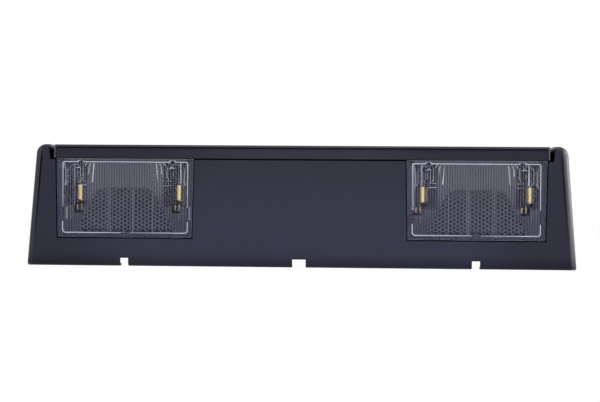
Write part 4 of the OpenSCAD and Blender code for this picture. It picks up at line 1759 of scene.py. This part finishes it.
@dataclass
class EarBridge:
    """The thin web over a slot, from the cover's ear to the housing's lip, rounded in front.

    It carries the small raised edge along the lip's end too. Both wear painted light, a far
    lighter copy of the housing's plastic. Sizes in millimetres.
    """

    side: int
    palette: Palette
    inner: float = 242.6
    outer: float = 249.6
    front: float = -21.6
    back: float = -13.0
    half: float = 1.45
    top: tuple[float, float] = (118.0, 119.7)
    bead_x: float = 242.5
    bead_y: float = -23.5
    bead_z: tuple[float, float] = (106.8, 117.6)

    def web(self) -> Shape:
        """The web: a bar with a round front, whose height falls in a smooth step from ear to lip.

        The point at angle a of the front lies half the bar's height times cos a before the
        round's axis, and that times sin a above it.

        Returns:
            The shape.
        """
        share = np.linspace(0.0, 1.0, 9)
        fall = share * share * (3 - 2 * share)
        x = self.side * (self.inner + (self.outer - self.inner) * share)
        middle = self.top[0] + (self.top[1] - self.top[0]) * fall - self.half
        ring = arc((self.front + self.half, 0.0), self.half, 270, 90, 9)
        ring = np.concatenate([ring, [[self.back, self.half], [self.back, -self.half]]])
        y = np.broadcast_to(ring[None, :, 0], (9, len(ring)))
        z = middle[:, None] + ring[None, :, 1]
        grid = np.stack([np.broadcast_to(x[:, None], z.shape), y, z], axis=-1)
        shape = Shape()
        shape.tube(grid)
        return shape

    def bead(self, shape: Shape) -> None:
        """Adds the raised edge: a circle carried up a path that bends inwards at its upper end.

        Args:
            shape: The shape it is added to.
        """
        r, x, (foot, head) = 0.5, self.bead_x, self.bead_z
        bend = arc((x - 2.0, head - 2.0), 2.0, 0, 75, 6)
        path = np.concatenate([[[x, foot]], bend]) * [self.side, 1.0]
        turn = np.radians(np.arange(10) * 36.0)
        profile = np.stack([r * np.cos(turn), self.bead_y + r * np.sin(turn)], axis=1)
        grid = swept(path, profile)
        shape.tube(grid)

    def build(self) -> bpy.types.Object:
        """Builds the web with its bead.

        Returns:
            The piece.
        """
        shape = self.web()
        self.bead(shape)
        label = "left" if self.side < 0 else "right"
        piece = shape.build(f"rear_housing_web_{label}", 40.0)
        # Painted light: the web and bead wear the lighter copy of the housing's plastic.
        self.palette.paint(piece, Finish.PAINTED_LIGHT)
        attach(piece, ROOT)
        LOG.info("%s: %d faces", piece.name, len(piece.data.polygons))
        return piece


@dataclass
class ContactSpring:
    """A contact spring under a bulb: a pad, a bent leaf down to the base, and a foot of two lugs.

    Sizes in millimetres, measured from the bulb's axis along X.
    """

    number: int
    palette: Palette
    pad_z: float = 64.9
    bulb_y: float = -14.0
    foot_y: float = -6.4
    foot_z: tuple[float, float] = (54.2, 59.8)
    thickness: float = 0.35

    def leaf(self, shape: Shape, axis: float) -> None:
        """Adds the pad and the leaf: a strip whose middle line bends down and back to the foot.

        Args:
            shape: The shape it is added to.
            axis: The bulb's X.
        """
        line = np.array(
            [
                [0.0, self.bulb_y - 2.4, self.pad_z],
                [0.0, self.bulb_y + 1.6, self.pad_z],
                [-0.1, self.bulb_y + 2.3, self.pad_z - 0.4],
                [-0.5, self.bulb_y + 3.4, self.pad_z - 1.9],
                [-1.3, self.foot_y - 1.6, self.foot_z[1] + 1.4],
                [-1.8, self.foot_y - 0.5, self.foot_z[1] + 0.2],
            ]
        )
        half = np.array([2.4, 2.4, 2.2, 1.5, 1.2, 1.3])
        across = np.linspace(-1, 1, 5)
        bow = 0.35 * across**2
        front = line[:, None, :] + np.stack(
            [half[:, None] * across[None, :], np.tile(bow, (6, 1)), np.zeros((6, 5))], axis=-1
        )
        front[..., 0] += axis
        back = front + [0.0, 0.0, -self.thickness]
        loop = np.concatenate([front, back[:, ::-1]], axis=1)
        shape.tube(loop)

    def lug(self, shape: Shape, centre: float, half: float, head: float) -> None:
        """Adds one lug of the foot: a half barrel about a vertical axis with rounded ends.

        The point at angle a and height share t lies at the lug's middle plus half the width
        times sin a, and in front of the foot by half the width times cos a, drawn in at both ends.

        Args:
            shape: The shape it is added to.
            centre: The lug's middle along X.
            half: Half its width.
            head: Its upper end.
        """
        angle = np.radians(np.linspace(-90, 90, 13))
        rise = np.array([0.0, 0.06, 0.15, 0.5, 0.85, 0.94, 1.0])
        draw = np.array([0.72, 0.92, 1.0, 1.0, 1.0, 0.92, 0.72])
        z = self.foot_z[0] + rise * (head - self.foot_z[0])
        x = centre + half * np.sin(angle)[None, :] * draw[:, None]
        y = self.foot_y - 0.05 - 0.75 * half * np.cos(angle)[None, :] * draw[:, None]
        grid = np.stack([x, y, np.broadcast_to(z[:, None], x.shape)], axis=-1)
        shape.tube(grid)

    def rivet(self, shape: Shape, x: float, z: float) -> None:
        """Adds the rivet behind the foot: a ring carried back along Y to its flat end.

        Args:
            shape: The shape it is added to.
            x: Its axis along X.
            z: Its height.
        """
        angle = np.radians(np.arange(16) * 22.5)
        ring = np.stack([x + 1.2 * np.cos(angle), np.zeros(16), z + 1.2 * np.sin(angle)], axis=1)
        grid = np.array([ring + [0.0, self.foot_y, 0.0], ring + [0.0, -3.6, 0.0]])
        shape.tube(grid)

    def build(self) -> bpy.types.Object:
        """Builds the spring and lets it stand for its CAD node.

        Returns:
            The piece.
        """
        node = f"contact_spring_{self.number}"
        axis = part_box(node)[1][0] / MM - 2.5
        shape = Shape()
        self.leaf(shape, axis)
        self.lug(shape, axis - 2.0, 1.5, 62.6)
        self.lug(shape, axis - 6.2, 1.6, 60.2)
        left, right, (low, high) = axis - 8.3, axis - 0.5, self.foot_z
        plate = np.array([[left, low], [right, low], [right, high], [left, high]])
        depths = (self.foot_y, self.foot_y + self.thickness)
        rings = [np.stack([plate[:, 0], np.full(4, y), plate[:, 1]], axis=1) for y in depths]
        grid = np.array(rings)
        shape.tube(grid)
        self.rivet(shape, axis - 4.4, 57.0)
        piece = shape.build(f"{node}_bent", 35.0)
        self.palette.paint(piece, Finish.LEAF)
        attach(piece, ROOT)
        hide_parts(node)
        LOG.info("%s: %d faces", piece.name, len(piece.data.polygons))
        return piece


@dataclass
class CarriedNodes:
    """The CAD nodes that stay as they are and get their finishes."""

    palette: Palette

    def dress(self) -> None:
        """Paints each socket with the barrel finish and every other node with the record's finish.
        """
        slots = {row["node"]: row["material_slot"] for row in frame["record"]["subparts"]}
        for name, node in frame["nodes"].items():
            drawn = name.startswith("socket_")
            self.palette.paint(node, Finish.BARREL if drawn else Finish(slots[name]))
            LOG.info("%s wears %s", name, slots[name])


# The studio


@dataclass
class Studio:
    """A pale floor and backdrop with soft light, and the camera of the photograph."""

    distance: float = 1.10
    yaw: float = 2.6
    roll: float = 0.45
    centre: tuple[float, float] = (0.0007, 0.0654)
    pixels: float = 1.0218

    def paper(self, name: str, tone: float, lift: float) -> bpy.types.Material:
        """White paper that looks white to the camera and still takes a shadow.

        Args:
            name: The material's name.
            tone: The paper's own lightness.
            lift: How much of what the camera sees is plain white.

        Returns:
            The material.
        """
        n = Nodes(name)
        fibre = n.noise(0.02, 3.0)
        tones = n.blend((tone * 0.99,) * 3, (tone,) * 3, fibre)
        plain = n.node("ShaderNodeBsdfDiffuse", {}, {"Color": tones})
        white = n.node("ShaderNodeEmission", {}, {"Color": (1.0, 1.0, 1.0, 1.0), "Strength": 1.0})
        share = n.seen() * lift
        mixed = n.node(
            "ShaderNodeMixShader", {}, {0: share, 1: plain.outputs[0], 2: white.outputs[0]}
        )
        return n.finish(mixed.outputs[0])

    def sheet(
        self, name: str, corners: Sequence[Sequence[float]], paper: bpy.types.Material
    ) -> None:
        """Adds a flat sheet of paper.

        Args:
            name: Its name.
            corners: Its four corners in metres.
            paper: Its material.
        """
        mesh = bpy.data.meshes.new(name)
        mesh.from_pydata([tuple(c) for c in corners], [], [(0, 1, 2, 3)])
        made = bpy.data.objects.new(name, mesh)
        made.data.materials.append(paper)
        bpy.context.scene.collection.objects.link(made)

    def lamp(
        self,
        name: str,
        place: Sequence[float],
        aim: Sequence[float],
        size: tuple[float, float],
        power: float,
    ) -> None:
        """Adds a soft box of white light.

        Args:
            name: Its name.
            place: Where it hangs.
            aim: Where it looks.
            size: Its width and height.
            power: Its power in watts.
        """
        light = bpy.data.lights.new(name, "AREA")
        light.shape = "RECTANGLE"
        light.size, light.size_y = size
        light.energy = power
        made = bpy.data.objects.new(name, light)
        made.location = place
        made.rotation_euler = (Vector(aim) - Vector(place)).to_track_quat("-Z", "Y").to_euler()
        bpy.context.scene.collection.objects.link(made)

    def sky(self) -> None:
        """Lights the set evenly from all round, a little brighter from above."""
        n = Nodes("soft_room", world=True)
        coord = n.node("ShaderNodeTexCoord", {}, {})
        split = n.node("ShaderNodeSeparateXYZ", {}, {0: coord.outputs["Generated"]})
        reach = {"From Min": -0.6, "From Max": 1.0, "To Min": 0.50, "To Max": 0.85}
        glow = n.node("ShaderNodeMapRange", {}, {"Value": split.outputs["Z"], **reach})
        tone = {"Color": (0.96, 0.97, 1.0, 1.0), "Strength": glow.outputs["Result"]}
        room = n.node("ShaderNodeBackground", {}, tone)
        white = n.node("ShaderNodeBackground", {}, {"Color": (1.0,) * 4, "Strength": 1.0})
        mixed = n.node(
            "ShaderNodeMixShader", {}, {0: n.seen(), 1: room.outputs[0], 2: white.outputs[0]}
        )
        bpy.context.scene.world = n.finish(mixed.outputs[0])

    def camera(self) -> None:
        """Sets up the photograph's camera: right of square, level, and turned a little."""
        data = bpy.data.cameras.new("photo_camera")
        data.sensor_width = 36.0
        data.lens = self.distance / MM * self.pixels * 36.0 / 600.0
        data.clip_start, data.clip_end = 0.05, 50.0
        made = bpy.data.objects.new("photo_camera", data)
        turn = math.radians(self.yaw)
        aim = Vector((self.centre[0], -0.024, self.centre[1]))
        back = Vector((math.sin(turn), -math.cos(turn), 0.0))
        basis = (-back).to_track_quat("-Z", "Y").to_matrix().to_4x4()
        spin = Matrix.Rotation(math.radians(self.roll), 4, "Z")
        made.matrix_world = Matrix.Translation(aim + back * self.distance) @ basis @ spin
        bpy.context.scene.collection.objects.link(made)
        bpy.context.scene.camera = made

    def build(self) -> None:
        """Builds the set, its lights and the camera."""
        self.sheet(
            "floor",
            [(-4, -4, 0), (4, -4, 0), (4, 3, 0), (-4, 3, 0)],
            self.paper("floor_paper", 0.86, 0.97),
        )
        self.sheet(
            "backdrop",
            [(-4, 3, 0), (4, 3, 0), (4, 3, 4), (-4, 3, 4)],
            self.paper("backdrop_paper", 0.86, 1.0),
        )
        self.sky()
        self.lamp("top_box", (0.1, -0.45, 1.25), (0.0, 0.0, 0.06), (1.3, 0.8), 7.0)
        self.lamp("front_strip", (-0.05, -1.5, 0.55), (0.0, 0.0, 0.06), (0.12, 0.9), 0.8)
        self.lamp("right_box", (1.60, -0.22, 0.40), (0.27, 0.0, 0.06), (1.2, 1.1), 24.0)
        self.lamp("left_box", (-1.45, -0.30, 0.45), (-0.27, 0.0, 0.06), (1.0, 1.1), 4.0)
        self.camera()


def main() -> None:
    """Builds the studio and dresses the bar, one sub-assembly after the other."""
    logging.basicConfig(level=logging.INFO, format="%(name)s: %(message)s")
    bpy.context.scene.view_settings.view_transform = "Standard"
    palette = Palette()
    Studio().build()
    CarriedNodes(palette).dress()
    Moulding("front_cover", Finish.COVER, palette).build()
    Moulding("rear_housing", Finish.HOUSING, palette, radius=0.25, drawn_in=0.35).build()
    HousingLip(palette).build()
    for side in (-1, 1):
        EarBridge(side, palette).build()
    for number in range(1, 5):
        ContactSpring(number, palette).build()
    for side in (-1, 1):
        Lens(side, palette).build()


if __name__ == "__main__":
    main()
